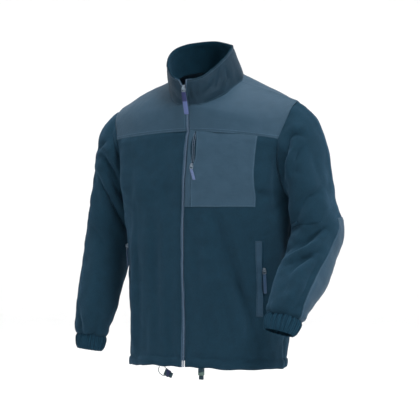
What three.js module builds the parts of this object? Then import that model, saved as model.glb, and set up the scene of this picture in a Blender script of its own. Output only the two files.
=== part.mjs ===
// A zip-front fleece jacket with woven yokes, elbow patches and a chest pocket, standing as if worn by nobody.
// Millimetres: +X is the wearer's left, -Y is the front, +Z is up.
// The origin is the middle of the neck hole, level with the points where the collar meets the shoulder seams.
import * as THREE from 'three';

// Cloth
const FLEECE = 2.6; // knitted fleece with its pile
const WOVEN = 1.4; // plain woven nylon with its backing
const TAPE = 0.8; // zip tape
const HEM_WALL = 5.6; // folded hem with the cord channel
const SEAM_GAP = 0.3; // between neighbouring pieces, and between layers
// Under the arm, where four twisted edges meet, the cloth is pressed thinner and drawn in more
const UNDERARM = { draw: 0.4, wall: 1.5 };
const FREE_GAP = 0.6; // under strips that do not follow the grid of the cloth

// Body
const HEM_DROP_BACK = 11; // the hem hangs this much lower at the middle of the back than in front
const FRONT_EDGE = 5.5; // from the centre line to the edge of each front
const YOKE_SEAM_Z = -134;
const BODY = [ // half width, depth in front and behind, squareness of the section
  { z: -720, half: 212, front: 136, back: 118, square: 2.3 },
  { z: -600, half: 213, front: 131, back: 112, square: 2.35 },
  { z: -425, half: 216, front: 138, back: 116, square: 2.3 },
  { z: -290, half: 222, front: 134, back: 124, square: 2.6 },
  { z: -175, half: 224, front: 120, back: 120, square: 3 },
  { z: -134, half: 224, front: 112, back: 113, square: 3.2 },
  { z: -73, half: 224, front: 115, back: 104, square: 3.2 },
];
// Heights of the rows of the grid: hem, hem stitching, pocket ends, chest pocket foot, underarm
const ROWS = [-704, -681, -648, -614, -579, -530, -480, -440, -399, -358, -318, -290];
const UPPER_ROWS = 5; // from the underarm to the yoke seam
// Columns from the centre front: front edge, both sides of the chest zip, pocket edge, welt
const COLUMNS = [5.5, 18, 26, 45, 68, 92, 116, 140, 162, 182, 198];
const SIDE_COLUMNS = 4; // from the welt to the side seam
const YOKE = { cfRows: 2, frontRows: 6, cbRows: 3, backRows: 5 };

// What differs between the sides of the wearer
const SIDES = {
  left: {
    sign: 1, seam: -156, backSeam: -152, tip: -64, over: -81, tipX: 246, rise: 2, reach: 0.94, hemIn: 12,
    hemDrop: 5, neckHalf: 94, neckDrop: 12, collarDrop: 9,
    sleeve: [
      { z: -320, x: 281, y: 0, out: 52, deep: 76, edge: 14 },
      { z: -370, x: 289, y: 4, out: 58, deep: 72, edge: -8 },
      { z: -415, x: 290, y: -20, out: 58, deep: 67, edge: -19 },
      { z: -480, x: 289, y: -77, out: 55, deep: 58, edge: -32 },
      { z: -538, x: 284, y: -137, out: 49, deep: 44, edge: -30 },
      { z: -572, x: 278, y: -155, out: 42, deep: 22, edge: -27 },
    ],
  },
  right: {
    sign: -1, seam: -148, backSeam: -150, tip: -67, over: -85, tipX: 251, rise: 7, reach: 1.16, hemIn: 5,
    hemDrop: 17, neckHalf: 86, neckDrop: 0, collarDrop: 0,
    sleeve: [
      { z: -320, x: 281, y: 0, out: 52, deep: 76, edge: 14 },
      { z: -395, x: 293, y: 4, out: 56, deep: 70, edge: -8 },
      { z: -440, x: 297, y: -6, out: 55, deep: 66, edge: -19 },
      { z: -520, x: 300, y: -32, out: 50, deep: 58, edge: -32 },
      { z: -598, x: 303, y: -60, out: 46, deep: 48, edge: -30 },
      { z: -643, x: 307, y: -66, out: 37, deep: 27, edge: -27 },
    ],
  },
};
const CAP_ROWS = 6;
const RING_ROWS = 15;
const PATCH = { firstRow: 8, fromColumn: 10, toColumn: 22 };
const CUFF = { high: 38, gathers: 16, perGather: 3, wall: 2.2, gatherDepth: 1.3 };

// Neck and collar
const NECK = { centreY: -20, depth: 95 };
const COLLAR = {
  half: 80, centreY: -51, depth: 81, topZ: 56.25, tilt: 54.5, saddle: 10.75,
  heights: [0, 0.17, 0.34, 0.52, 0.69, 0.85, 1], sliderRow: 4,
  openRight: 12, openLeft: 4,
};

// Soft folds: a ridge (depth above 0) or a trough along a line, and its half width
const BODY_FOLDS = [
  { from: [-132, -100, -250], to: [-150, -95, -690], depth: 7, width: 16 },
  { from: [-108, -115, -330], to: [-118, -115, -690], depth: -5, width: 16 },
  { from: [-176, -70, -330], to: [-184, -70, -680], depth: -5, width: 16 },
  { from: [-60, -130, -420], to: [-70, -130, -700], depth: 3, width: 20 },
  { from: [92, -120, -345], to: [123, -115, -470], depth: -5, width: 17 },
  { from: [123, -115, -470], to: [172, -90, -650], depth: -6, width: 18 },
  { from: [70, -125, -400], to: [110, -120, -640], depth: 5, width: 22 },
  { from: [205, -40, -340], to: [205, -30, -600], depth: 4, width: 20 },
  { from: [205, -60, -205], to: [170, -100, -300], depth: 4, width: 18 },
  { from: [-205, -60, -205], to: [-172, -100, -290], depth: 4, width: 18 },
  { from: [-60, 118, -230], to: [-90, 112, -650], depth: 5, width: 26 },
  { from: [70, 118, -260], to: [60, 112, -680], depth: -5, width: 24 },
  { from: [-150, 90, -260], to: [-165, 80, -620], depth: -5, width: 22 },
  { from: [150, 90, -240], to: [140, 85, -660], depth: 5, width: 24 },
  { from: [10, 122, -250], to: [0, 115, -560], depth: 3, width: 24 },
];
const SLEEVE_FOLDS = [
  { from: [306, -20, -278], to: [256, -66, -358], depth: -7, width: 13 },
  { from: [318, -30, -318], to: [262, -70, -395], depth: 4, width: 14 },
  { from: [326, -45, -374], to: [236, -85, -446], depth: -8, width: 13 },
  { from: [322, -60, -420], to: [262, -100, -462], depth: 5, width: 13 },
  { from: [314, -95, -432], to: [262, -125, -470], depth: -6, width: 11 },
  { from: [310, -110, -470], to: [256, -160, -545], depth: -5, width: 12 },
  { from: [330, 30, -392], to: [280, 74, -430], depth: 5, width: 16 },
  { from: [276, 78, -330], to: [240, 60, -400], depth: -5, width: 15 },
  { from: [-262, -60, -200], to: [-240, -64, -275], depth: -7, width: 13 },
  { from: [-288, -55, -250], to: [-268, -72, -300], depth: -5, width: 12 },
  { from: [-268, -72, -300], to: [-244, -60, -378], depth: -6, width: 12 },
  { from: [-300, -62, -330], to: [-262, -70, -410], depth: 4, width: 14 },
  { from: [-322, -50, -440], to: [-262, -66, -500], depth: -5, width: 13 },
  { from: [-330, 20, -462], to: [-300, 60, -500], depth: 5, width: 14 },
  { from: [-318, -70, -540], to: [-262, -80, -590], depth: -4, width: 13 },
  { from: [-270, 72, -330], to: [-300, 66, -430], depth: -5, width: 16 },
];
const FOLD_REACH = 38; // a fold shapes only cloth this near its line, measured along the normal

const COLOUR = {
  fleece: 0x253e4b, woven: 0x40566a, cuff: 0x2c4452, lining: 0x1d343f, tape: 0x566874, chain: 0x8b9299,
  metal: 0x9aa0a6, grip: 0x32506c, pale: 0xb9c0c6, cord: 0x20303a, lock: 0x1d2227, zip: 0x1f3038,
};

// Vectors and tables
const point = (x, y, z) => new THREE.Vector3(x, y, z);
const mix = (a, b, t) => a + (b - a) * t;
const midway = (a, b, t) => a.clone().lerp(b, t);

// Reads all columns of a table at a key, smoothly between its rows.
function read(table, key, at) {
  const last = table.length - 1;
  const rising = Math.sign(table[last][key] - table[0][key]);
  let k = 0;
  while (k < last - 1 && (at - table[k + 1][key]) * rising > 0) k += 1;
  const a = table[k], b = table[k + 1];
  const before = table[Math.max(0, k - 1)], after = table[Math.min(last, k + 2)];
  const span = b[key] - a[key];
  const t = (at - a[key]) / span;
  const row = {};
  for (const name of Object.keys(a)) {
    const leave = ((b[name] - before[name]) / (b[key] - before[key])) * span;
    const arrive = ((after[name] - a[name]) / (after[key] - a[key])) * span;
    row[name] = hermite(a[name], leave, b[name], arrive, t);
  }
  return row;
}
function hermite(a, leave, b, arrive, t) {
  const t2 = t * t, t3 = t2 * t;
  return a * (2 * t3 - 3 * t2 + 1) + leave * (t3 - 2 * t2 + t) + b * (3 * t2 - 2 * t3) + arrive * (t3 - t2);
}

// Points at given distances along a finely sampled curve.
function atDistances(curve, distances) {
  const steps = 600;
  const fine = Array.from({ length: steps + 1 }, (_, k) => curve(k / steps));
  const run = [0];
  for (let k = 1; k <= steps; k += 1) run.push(run[k - 1] + fine[k].distanceTo(fine[k - 1]));
  const total = run[steps];
  return distances(total).map((wanted) => {
    let k = 0;
    while (k < steps - 1 && run[k + 1] < wanted) k += 1;
    return midway(fine[k], fine[k + 1], (wanted - run[k]) / (run[k + 1] - run[k]));
  });
}
function frontDistances(total) {
  const last = COLUMNS[COLUMNS.length - 1];
  const rest = Array.from({ length: SIDE_COLUMNS }, (_, k) => mix(last, total, (k + 1) / SIDE_COLUMNS));
  return [...COLUMNS, ...rest];
}
// Evenly spaced points on a smooth curve through a few given ones.
const smooth = (points, count) => new THREE.CatmullRomCurve3(points, false, 'centripetal').getSpacedPoints(count);

// How far the hem hangs lower than its front corners, and how much a side draws in towards the hem.
const hemDrop = (z, t, way, side) => (way < 0 ? t ** 1.5 * side.hemDrop : mix(HEM_DROP_BACK, side.hemDrop, t))
  * Math.min(1, Math.max(0, (-560 - z) / 110));
const halfWidth = (z, side) => read(BODY, 'z', z).half - side.hemIn * Math.max(0, (-420 - z) / 286) ** 1.5;
// A quarter of the body's section at a height: front (way -1) or back (way 1).
function quarter(z, way, side) {
  const s = read(BODY, 'z', z);
  const deep = way < 0 ? s.front : s.back;
  return (t) => {
    const angle = (t * Math.PI) / 2;
    return point(
      halfWidth(z, side) * Math.sin(angle) ** (2 / s.square),
      way * deep * Math.cos(angle) ** (2 / s.square), z - hemDrop(z, t, way, side));
  };
}
function neck(angle, side) {
  return point(
    side.neckHalf * Math.sin(angle),
    NECK.centreY - NECK.depth * Math.cos(angle),
    -11.25 - 50.5 * Math.cos(angle) - 11.25 * Math.cos(2 * angle) - side.neckDrop * Math.sin(angle));
}
const neckStart = (side) => Math.asin(FRONT_EDGE / side.neckHalf);

// A grid of points between four edges, whose points it shares. `ease` keeps the outer edge's shape near that edge.
function patch(bottom, top, inner, outer, across, ease = 1) {
  const last = inner.length - 1, side = bottom.length - 1;
  return inner.map((_, i) => bottom.map((_, j) => {
    if (i === 0) return bottom[j];
    if (i === last) return top[j];
    if (j === 0) return inner[i];
    if (j === side) return outer[i];
    const v = i / last, u = across[j] ** ease;
    const p = midway(bottom[j], top[j], v);
    p.addScaledVector(inner[i].clone().sub(midway(inner[0], inner[last], v)), 1 - u);
    return p.addScaledVector(outer[i].clone().sub(midway(outer[0], outer[last], v)), u);
  }));
}
const count = (n) => Array.from({ length: n }, (_, k) => k);

// One half of the body. `centreBack` holds the points that both halves share.
function half(side, centreBack) {
  const seamEnd = { front: point(224, -76, side.seam), back: point(224, 70, side.backSeam) };
  const tip = point(side.tipX, -10, side.tip);

  // Seams that pieces share
  const seamCurve = (t) => point(
    224 * t, -(110 - 34 * t ** 3.2), YOKE_SEAM_Z + (side.seam - YOKE_SEAM_Z) * t ** 1.5);
  const seam = atDistances(seamCurve, frontDistances);
  seam[seam.length - 1] = seamEnd.front;
  const across = seam.map((p) => (p.x - FRONT_EDGE) / (224 - FRONT_EDGE));
  const backSeamCurve = (t) => point(
    224 * t, 113 - 43 * t ** 3, centreBack.seamZ + (side.backSeam - centreBack.seamZ) * t ** 1.5);
  const backSeam = across.map((t, j) => (j ? backSeamCurve(t) : null));
  backSeam[across.length - 1] = seamEnd.back;
  const sideSeam = ROWS.map((z) => point(halfWidth(z, side), 0, z - hemDrop(z, 1, 1, side)));
  const pit = sideSeam[ROWS.length - 1];
  const lowFront = smooth(
    [pit, point(221, -34, -276), point(217, -50, -250), point(217, -62, -205), seamEnd.front], UPPER_ROWS);
  const lowBack = smooth(
    [pit, point(221, 28, -272), point(217, 50, -250), point(217, 62, -205), seamEnd.back], UPPER_ROWS);
  const upperRows = YOKE.cfRows + YOKE.frontRows;
  const highFront = smooth(
    [seamEnd.front, point(238, -58, mix(side.seam, side.over, 0.62)), point(side.tipX - 3, -38, side.over), tip], upperRows);
  const highBack = smooth(
    [seamEnd.back, point(238, 52, mix(side.backSeam, side.over, 0.62)), point(side.tipX - 3, 22, side.over + 8), tip],
    upperRows);
  for (const edge of [lowFront, lowBack]) { edge[0] = pit; }
  lowFront[UPPER_ROWS] = seamEnd.front;
  lowBack[UPPER_ROWS] = seamEnd.back;
  highFront[0] = seamEnd.front;
  highBack[0] = seamEnd.back;
  highFront[upperRows] = tip;
  highBack[upperRows] = tip;
  const neckFront = count(YOKE.frontRows + 1).map(
    (k) => neck(mix(neckStart(side), Math.PI / 2, k / YOKE.frontRows), side));
  const shoulderPoint = neckFront[YOKE.frontRows];
  const neckBack = count(YOKE.backRows + 1).map((k) => neck(Math.PI - (k / YOKE.backRows) * (Math.PI / 2), side));
  neckBack[0] = centreBack.neck;
  neckBack[YOKE.backRows] = shoulderPoint;
  const shoulder = across.map((t) => {
    const p = midway(shoulderPoint, tip, t);
    p.z += side.rise * Math.sin(Math.PI * t);
    return p;
  });
  shoulder[0] = shoulderPoint;
  shoulder[shoulder.length - 1] = tip;

  // Front below the yoke
  const low = ROWS.map((z, i) => {
    const row = atDistances(quarter(z, -1, side), frontDistances);
    row[row.length - 1] = sideSeam[i];
    return row;
  });
  const top = low.pop();
  const cf = count(UPPER_ROWS + 1).map((k) => {
    const z = mix(ROWS[ROWS.length - 1], YOKE_SEAM_Z, k / UPPER_ROWS);
    return point(FRONT_EDGE, -read(BODY, 'z', z).front, z);
  });
  cf[0] = top[0];
  cf[UPPER_ROWS] = seam[0];
  const front = [...low, ...patch(top, seam, cf, lowFront, across, 5)];

  // Front yoke
  const cfYoke = [seam[0], midway(seam[0], neckFront[0], 0.5), ...neckFront];
  const yoke = patch(seam, shoulder, cfYoke, highFront, across);

  // Back, from the centre outwards
  const backRow = (z, i) => {
    const row = atDistances(quarter(z, 1, side), (total) => across.map((t) => t * total));
    row[0] = centreBack.low[i];
    row[row.length - 1] = sideSeam[i];
    return row;
  };
  const lowBackRows = ROWS.map(backRow);
  const topBack = lowBackRows.pop();
  backSeam[0] = centreBack.seam;
  const back = [
    ...lowBackRows, ...patch(topBack, backSeam, [topBack[0], ...centreBack.high, centreBack.seam],
      lowBack, across, 5)];
  const cbYoke = [centreBack.seam, ...centreBack.yoke, centreBack.neck, ...neckBack.slice(1)];
  const yokeBack = patch(backSeam, shoulder, cbYoke, highBack, across);

  const loop = [...lowFront, ...highFront.slice(1), ...highBack.slice(0, -1).reverse(),
    ...lowBack.slice(1, -1).reverse()];
  for (const p of new Set([front, yoke, back, yokeBack].flat(2))) p.x *= side.sign;
  return { side, front, yoke, back, yokeBack, loop, neckFront, neckBack };
}

// The points on the centre back line.
function centreBackLine() {
  const seamZ = -140;
  const at = (z, y) => point(0, y ?? read(BODY, 'z', z).back, z);
  const line = {
    seamZ,
    low: ROWS.map((z) => { const p = at(z); p.z -= hemDrop(z, 0, 1, SIDES.left); return p; }),
    high: count(UPPER_ROWS - 1).map((k) => at(mix(ROWS[ROWS.length - 1], seamZ, (k + 1) / UPPER_ROWS))),
    seam: at(seamZ, 113),
    yoke: [at(-84, 106), at(-28, 93)],
    neck: neck(Math.PI, SIDES.left),
  };
  line.neck.x = 0;
  return line;
}

// A ring of the sleeve at a height: its middle, the way down the sleeve, its two axes and its sizes.
function ring(side, z) {
  const middle = (at) => { const r = read(side.sleeve, 'z', at); return point(side.sign * r.x, r.y, at); };
  const near = Math.max(z, side.sleeve[side.sleeve.length - 1].z + 3);
  const way = middle(near - 3).sub(middle(near + 3)).normalize();
  const out = point(side.sign, 0, 0);
  out.addScaledVector(way, -out.dot(way)).normalize();
  const back = point(0, 1, 0);
  back.addScaledVector(way, -back.dot(way)).addScaledVector(out, -back.dot(out)).normalize();
  const { out: wide, deep, edge } = read(side.sleeve, 'z', z);
  return { middle: middle(z), way, out, back, wide, deep, edge };
}
const onRing = (r, angle, grow = 0) => r.middle.clone()
  .addScaledVector(r.out, Math.cos(angle) * (r.wide + grow))
  .addScaledVector(r.back, Math.sin(angle) * (r.deep + grow));
// The normal of a ring's outline, lying in the plane of the ring.
const ringNormal = (r, angle) => point(0, 0, 0)
  .addScaledVector(r.out, Math.cos(angle) / r.wide)
  .addScaledVector(r.back, Math.sin(angle) / r.deep).normalize();

const TIP = UPPER_ROWS + YOKE.cfRows + YOKE.frontRows; // the armhole's column at the shoulder tip

// How far round the sleeve each column is: -180 degrees at the underarm, 0 at the shoulder tip, then the back.
function columnAngles(loop) {
  const run = [0];
  for (let k = 1; k <= loop.length; k += 1) {
    run.push(run[k - 1] + loop[k % loop.length].distanceTo(loop[k - 1]));
  }
  return loop.map((_, k) => (k <= TIP
    ? Math.PI * (run[k] / run[TIP] - 1)
    : (Math.PI * (run[k] - run[TIP])) / (run[loop.length] - run[TIP])));
}
// Moves the columns near the elbow patch's front edge so that one of them follows the edge.
function leaned(angle, edgeAngle, edge) {
  const bump = Math.exp(-(((angle - edgeAngle) / 0.75) ** 2));
  return angle + ((edge * Math.PI) / 180 - edgeAngle) * bump;
}
function sleeveGrid(side, loop) {
  const angles = columnAngles(loop);
  const edgeAngle = angles[PATCH.fromColumn];
  const first = side.sleeve[0].z, last = side.sleeve[side.sleeve.length - 1].z;
  const top = ring(side, first);
  const cap = count(CAP_ROWS).map((k) => loop.map((start, j) => {
    const t = (k + 1) / CAP_ROWS;
    const end = onRing(top, leaned(angles[j], edgeAngle, top.edge));
    const far = start.distanceTo(end);
    const under = (1 - Math.cos(angles[j])) / 2;
    const drop = mix(0.42, 0.25, under) + 1.8 * under * (1 - under);
    const leave = point(side.sign * 0.9, start.y / 260, -drop).normalize()
      .multiplyScalar(far * (side.reach + under ** 4));
    const arrive = top.way.clone().multiplyScalar(far);
    return point(
      hermite(start.x, leave.x, end.x, arrive.x, t),
      hermite(start.y, leave.y, end.y, arrive.y, t),
      hermite(start.z, leave.z, end.z, arrive.z, t));
  }));
  const tube = count(RING_ROWS).map((k) => {
    const r = ring(side, mix(first, last, (k + 1) / RING_ROWS));
    const pull = k === RING_ROWS - 1 ? -SEAM_GAP / 2 : 0;
    return angles.map((a) => onRing(r, leaned(a, edgeAngle, r.edge)).addScaledVector(r.way, pull));
  });
  return [loop, ...cap, ...tube];
}
function cuffGrid(side) {
  const r = ring(side, side.sleeve[side.sleeve.length - 1].z);
  const columns = CUFF.gathers * CUFF.perGather;
  return CUFF_SHAPE.map(({ down, grow }) => count(columns).map((c) => {
    const angle = (2 * Math.PI * c) / columns - Math.PI;
    const p = onRing(r, angle, grow).addScaledVector(r.way, SEAM_GAP / 2 + down);
    p.normal = ringNormal(r, angle);
    p.gather = CUFF.gatherDepth * (0.5 + 0.5 * Math.cos((2 * Math.PI * c) / CUFF.perGather));
    return p;
  }));
}
const CUFF_SHAPE = [
  { down: 0, grow: -1.5 }, { down: 8, grow: 0.8 }, { down: 28, grow: 0.4 }, { down: CUFF.high, grow: -2 }];

// The collar: its lower row is the neckline, its upper row a tilted ring further forward.
function collarGrid(right, left) {
  const halfLoop = (h) => [...h.neckFront, ...h.neckBack.slice(1, -1).reverse()];
  const base = [...halfLoop(right), right.neckBack[0], ...halfLoop(left).reverse()];
  const middle = (base.length - 1) / 2;
  return COLLAR.heights.map((h) => base.map((p, j) => {
    if (h === 0) return p;
    const step = Math.min(j, base.length - 1 - j);
    const low = Math.asin(FRONT_EDGE / COLLAR.half);
    const frontSteps = YOKE.frontRows;
    const angle = step <= frontSteps ? mix(low, Math.PI / 2, step / frontSteps)
      : mix(Math.PI / 2, Math.PI, (step - frontSteps) / YOKE.backRows);
    const s = j < middle ? -1 : 1;
    const lower = (s < 0 ? SIDES.right : SIDES.left).collarDrop * Math.min(1, 1.8 * Math.sin(angle));
    const top = point(s * COLLAR.half * Math.sin(angle), COLLAR.centreY - COLLAR.depth * Math.cos(angle),
      COLLAR.topZ - COLLAR.tilt * Math.cos(angle) - COLLAR.saddle * Math.cos(2 * angle) - lower);
    if (j === middle) top.x = 0;
    const q = midway(p, top, h);
    const swell = 1.5 * Math.sin(Math.PI * h);
    q.x += s * Math.sin(angle) * swell;
    q.y -= Math.cos(angle) * swell;
    const open = Math.max(0, (h - COLLAR.heights[COLLAR.sliderRow]) / (1 - COLLAR.heights[COLLAR.sliderRow]));
    q.x += (s < 0 ? -COLLAR.openRight : COLLAR.openLeft) * open * ([1, 0.4, 0.1][step] ?? 0);
    return q;
  }));
}

// Nets: a grid whose faces know which way is out
function net(rows, inside, closed = false) {
  const turns = rows.slice(1).map((row, i) => row.map((p, j) => {
    const k = (j + 1) % row.length;
    if (k === 0 && !closed) return 0;
    const face = faceNormal(rows[i][j], rows[i][k], row[k], p);
    return Math.sign(face.dot(p.clone().sub(inside(p, row))));
  })).flat().reduce((a, b) => a + b, 0);
  return { rows, closed, flip: turns < 0 };
}
function faceNormal(a, b, c, d) {
  return c.clone().sub(a).cross(d.clone().sub(b)).multiplyScalar(0.5);
}
// Gives each point a normal. Where groups of nets meet, it is halfway between theirs, so that walls are mitred.
function weld(groups) {
  const all = new Set(groups.flat().flatMap((n) => n.rows.flat()));
  for (const p of all) p.normal = point(0, 0, 0);
  for (const group of groups) {
    const own = new Map(group.flatMap((n) => n.rows.flat()).map((p) => [p, point(0, 0, 0)]));
    for (const face of group.flatMap(cells)) {
      for (const p of face) own.get(p).add(faceNormal(...face));
    }
    for (const [p, normal] of own) p.normal.add(normal.normalize());
  }
  [...all].forEach((p, k) => { p.normal.normalize(); p.serial = k; });
}
// Moves the points of some nets out or in where a fold passes.
function fold(nets, folds) {
  const lines = folds.map((f) => ({ ...f, a: point(...f.from), line: point(...f.to).sub(point(...f.from)) }));
  const moves = [...new Set(nets.flatMap((n) => n.rows.flat()))].map((p) => {
    let move = 0;
    for (const { a, line, depth, width } of lines) {
      const t = Math.min(1, Math.max(0, p.clone().sub(a).dot(line) / line.lengthSq()));
      const off = p.clone().sub(a).addScaledVector(line, -t);
      const along = off.dot(p.normal);
      const beside = off.lengthSq() - along * along;
      if (Math.abs(along) < FOLD_REACH) {
        move += depth * Math.exp(-beside / (width * width)) * (0.5 + 0.5 * Math.sin(Math.PI * t));
      }
    }
    return [p, move];
  });
  for (const [p, move] of moves) p.addScaledVector(p.normal, move);
}

// The faces of a grid, each as four points that run anticlockwise seen from outside.
function cells({ rows, closed, flip }) {
  const faces = [];
  for (let i = 0; i < rows.length - 1; i += 1) {
    for (let j = 0; j < rows[i].length - (closed ? 0 : 1); j += 1) {
      const k = (j + 1) % rows[i].length;
      const [a, b, c, d] = [rows[i][j], rows[i][k], rows[i + 1][k], rows[i + 1][j]];
      faces.push(flatter(flip ? [a, d, c, b] : [a, b, c, d]));
    }
  }
  return faces;
}
// Starts a face at the corner whose diagonal splits it into the two flatter triangles.
function flatter(face) {
  const [a, b, c, d] = face;
  const bend = (p, q, r, s) => faceNormal(p, p, q, r).normalize().dot(faceNormal(p, p, r, s).normalize());
  return bend(b, c, d, a) > bend(a, b, c, d) + 0.001 ? [b, c, d, a] : face;
}
// Cloth walls: a closed solid between two offsets of some faces, drawn in by half a gap at its open edges.
// `still` names the edges that stay where they are.
function wall(faces, from, to, still = () => false) {
  const points = [...new Set(faces.flat())];
  const index = new Map(points.map((p, k) => [p, k]));
  const edges = new Map();
  for (const face of faces) {
    face.forEach((p, k) => {
      const q = face[(k + 1) % 4];
      const other = `${index.get(q)} ${index.get(p)}`;
      if (edges.has(other)) edges.delete(other);
      else edges.set(`${index.get(p)} ${index.get(q)}`, [p, q, faceNormal(...face).normalize()]);
    });
  }
  const inwards = new Map(points.map((p) => [p, []]));
  for (const [p, q, normal] of edges.values()) {
    if (still(p, q)) continue;
    const inward = normal.clone().cross(q.clone().sub(p)).normalize();
    inwards.get(p).push(inward);
    inwards.get(q).push(inward);
  }
  const drawn = points.map((p) => {
    const [a, b] = inwards.get(p);
    if (!a) return p;
    const way = b ? a.clone().add(b).divideScalar(Math.max(0.5, 1 + a.dot(b))) : a;
    return p.clone().addScaledVector(way, p.draw ?? SEAM_GAP / 2);
  });
  const positions = [];
  for (const offset of [to, from]) {
    points.forEach((p, k) => {
      const by = typeof offset === 'function' ? offset(p) : offset;
      positions.push(...drawn[k].clone().addScaledVector(p.normal, by).toArray());
    });
  }
  const n = points.length;
  const triangles = [];
  for (const face of faces) {
    const [a, b, c, d] = face.map((p) => index.get(p));
    triangles.push(a, b, c, a, c, d, n + a, n + c, n + b, n + a, n + d, n + c);
  }
  for (const [p, q] of edges.values()) {
    const [a, b] = [index.get(p), index.get(q)];
    // both walls at a seam split the face between them along the same diagonal
    if ((p.serial ?? a) < (q.serial ?? b)) triangles.push(b, a, n + a, b, n + a, n + b);
    else triangles.push(b, a, n + b, a, n + a, n + b);
  }
  const geometry = new THREE.BufferGeometry();
  geometry.setAttribute('position', new THREE.Float32BufferAttribute(positions, 3));
  geometry.setIndex(triangles);
  geometry.computeVertexNormals();
  return geometry;
}
// Part of a net: whole rows and columns.
const part = ({ rows, flip }, [r0, r1], [c0, c1]) => (
  cells({ rows: rows.slice(r0, r1 + 1).map((row) => row.slice(c0, c1 + 1)), closed: false, flip }));
// A point between two columns, or a little before the first one, with its normal.
function between(row, column) {
  const k = Math.max(0, Math.min(row.length - 2, Math.floor(column)));
  const p = midway(row[k], row[k + 1], column - k);
  p.normal = midway(row[k].normal, row[k + 1].normal, column - k).normalize();
  return p;
}
function betweenRows(rows, r, column) {
  const k = Math.max(0, Math.min(rows.length - 2, Math.floor(r)));
  const a = between(rows[k], column), b = between(rows[k + 1], column);
  const p = midway(a, b, r - k);
  p.normal = midway(a.normal, b.normal, r - k).normalize();
  p.up = b.clone().sub(a).normalize();
  return p;
}

// Small hard and soft parts
// An outline in the plane of `across` and `up`, with holes, given a thickness along the third way.
function slab(outline, holes, thick, { origin, across, up }) {
  const shape = new THREE.Shape(outline.map(([x, y]) => new THREE.Vector2(x, y)));
  for (const hole of holes) shape.holes.push(new THREE.Path(hole.map(([x, y]) => new THREE.Vector2(x, y))));
  const geometry = new THREE.ExtrudeGeometry(shape, { depth: thick, bevelEnabled: false, curveSegments: 8 });
  geometry.translate(0, 0, -thick / 2);
  const third = across.clone().cross(up);
  geometry.applyMatrix4(new THREE.Matrix4().makeBasis(across, up, third).setPosition(origin));
  return geometry;
}
const box = (x0, x1, y0, y1, cut = 0) => (cut
  ? [[x0 + cut, y0], [x1 - cut, y0], [x1, y0 + cut], [x1, y1 - cut], [x1 - cut, y1], [x0 + cut, y1],
    [x0, y1 - cut], [x0, y0 + cut]]
  : [[x0, y0], [x1, y0], [x1, y1], [x0, y1]]);
// A round cord along a smooth open path, with flat ends.
function tube(points, radius, steps, around = 8) {
  const curve = new THREE.CatmullRomCurve3(points, false, 'centripetal');
  const frames = curve.computeFrenetFrames(steps, false);
  const positions = [], faces = [];
  for (let i = 0; i <= steps; i += 1) {
    const middle = curve.getPointAt(i / steps);
    for (let k = 0; k < around; k += 1) {
      const a = (2 * Math.PI * k) / around;
      const p = middle.clone().addScaledVector(frames.normals[i], radius * Math.cos(a))
        .addScaledVector(frames.binormals[i], radius * Math.sin(a));
      positions.push(p.x, p.y, p.z);
    }
  }
  for (let i = 0; i < steps; i += 1) {
    for (let k = 0; k < around; k += 1) {
      const a = i * around + k, b = i * around + ((k + 1) % around);
      faces.push(a, b, a + around, b, b + around, a + around);
    }
  }
  for (let k = 1; k < around - 1; k += 1) {
    faces.push(0, k + 1, k);
    faces.push(steps * around, steps * around + k, steps * around + k + 1);
  }
  const geometry = new THREE.BufferGeometry();
  geometry.setAttribute('position', new THREE.Float32BufferAttribute(positions, 3));
  geometry.setIndex(faces);
  geometry.computeVertexNormals();
  return geometry;
}

// Assembly
const group = new THREE.Group();
function piece(name, geometry, colour, roughness = 0.9, metalness = 0) {
  const mesh = new THREE.Mesh(geometry, new THREE.MeshStandardMaterial({ color: colour, roughness, metalness }));
  mesh.name = name;
  group.add(mesh);
}
const centreBack = centreBackLine();
const right = half(SIDES.right, centreBack);
const left = half(SIDES.left, centreBack);
const whole = (a, b) => a.map((row, i) => [...row.slice(1).reverse(), ...b[i]]);
const bodyInside = (p) => point(0, 0, Math.min(p.z, -220));
const rowMiddle = (p, row) => row.reduce((sum, q) => sum.add(q), point(0, 0, 0)).divideScalar(row.length);
const nets = {
  front_right: net(right.front, bodyInside),
  front_left: net(left.front, bodyInside),
  back: net(whole(right.back, left.back), bodyInside),
  yoke_front_right: net(right.yoke, bodyInside),
  yoke_front_left: net(left.yoke, bodyInside),
  yoke_back_right: net(right.yokeBack, bodyInside),
  yoke_back_left: net(left.yokeBack, bodyInside),
  sleeve_right: net(sleeveGrid(SIDES.right, right.loop), rowMiddle, true),
  sleeve_left: net(sleeveGrid(SIDES.left, left.loop), rowMiddle, true),
  collar: net(collarGrid(right, left), () => point(0, -40, 0)),
};
const bodyNets = ['front_right', 'front_left', 'back', 'yoke_front_right', 'yoke_front_left',
  'yoke_back_right', 'yoke_back_left'].map((name) => nets[name]);
const sleeveNets = [nets.sleeve_right, nets.sleeve_left];
for (const { loop } of [right, left]) {
  for (const k of [0, 1, 2, loop.length - 2, loop.length - 1]) loop[k].draw = UNDERARM.draw;
}
const groups = [bodyNets, [nets.sleeve_right], [nets.sleeve_left], [nets.collar]];
weld(groups);
fold(bodyNets, BODY_FOLDS);
fold(sleeveNets, SLEEVE_FOLDS);
weld(groups);
for (const [name, grid] of [['right', nets.sleeve_right], ['left', nets.sleeve_left]]) {
  const side = SIDES[name];
  const { way } = ring(side, side.sleeve[side.sleeve.length - 1].z);
  for (const p of grid.rows[grid.rows.length - 1]) {
    p.normal.addScaledVector(way, -p.normal.dot(way)).normalize();
  }
}

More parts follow.
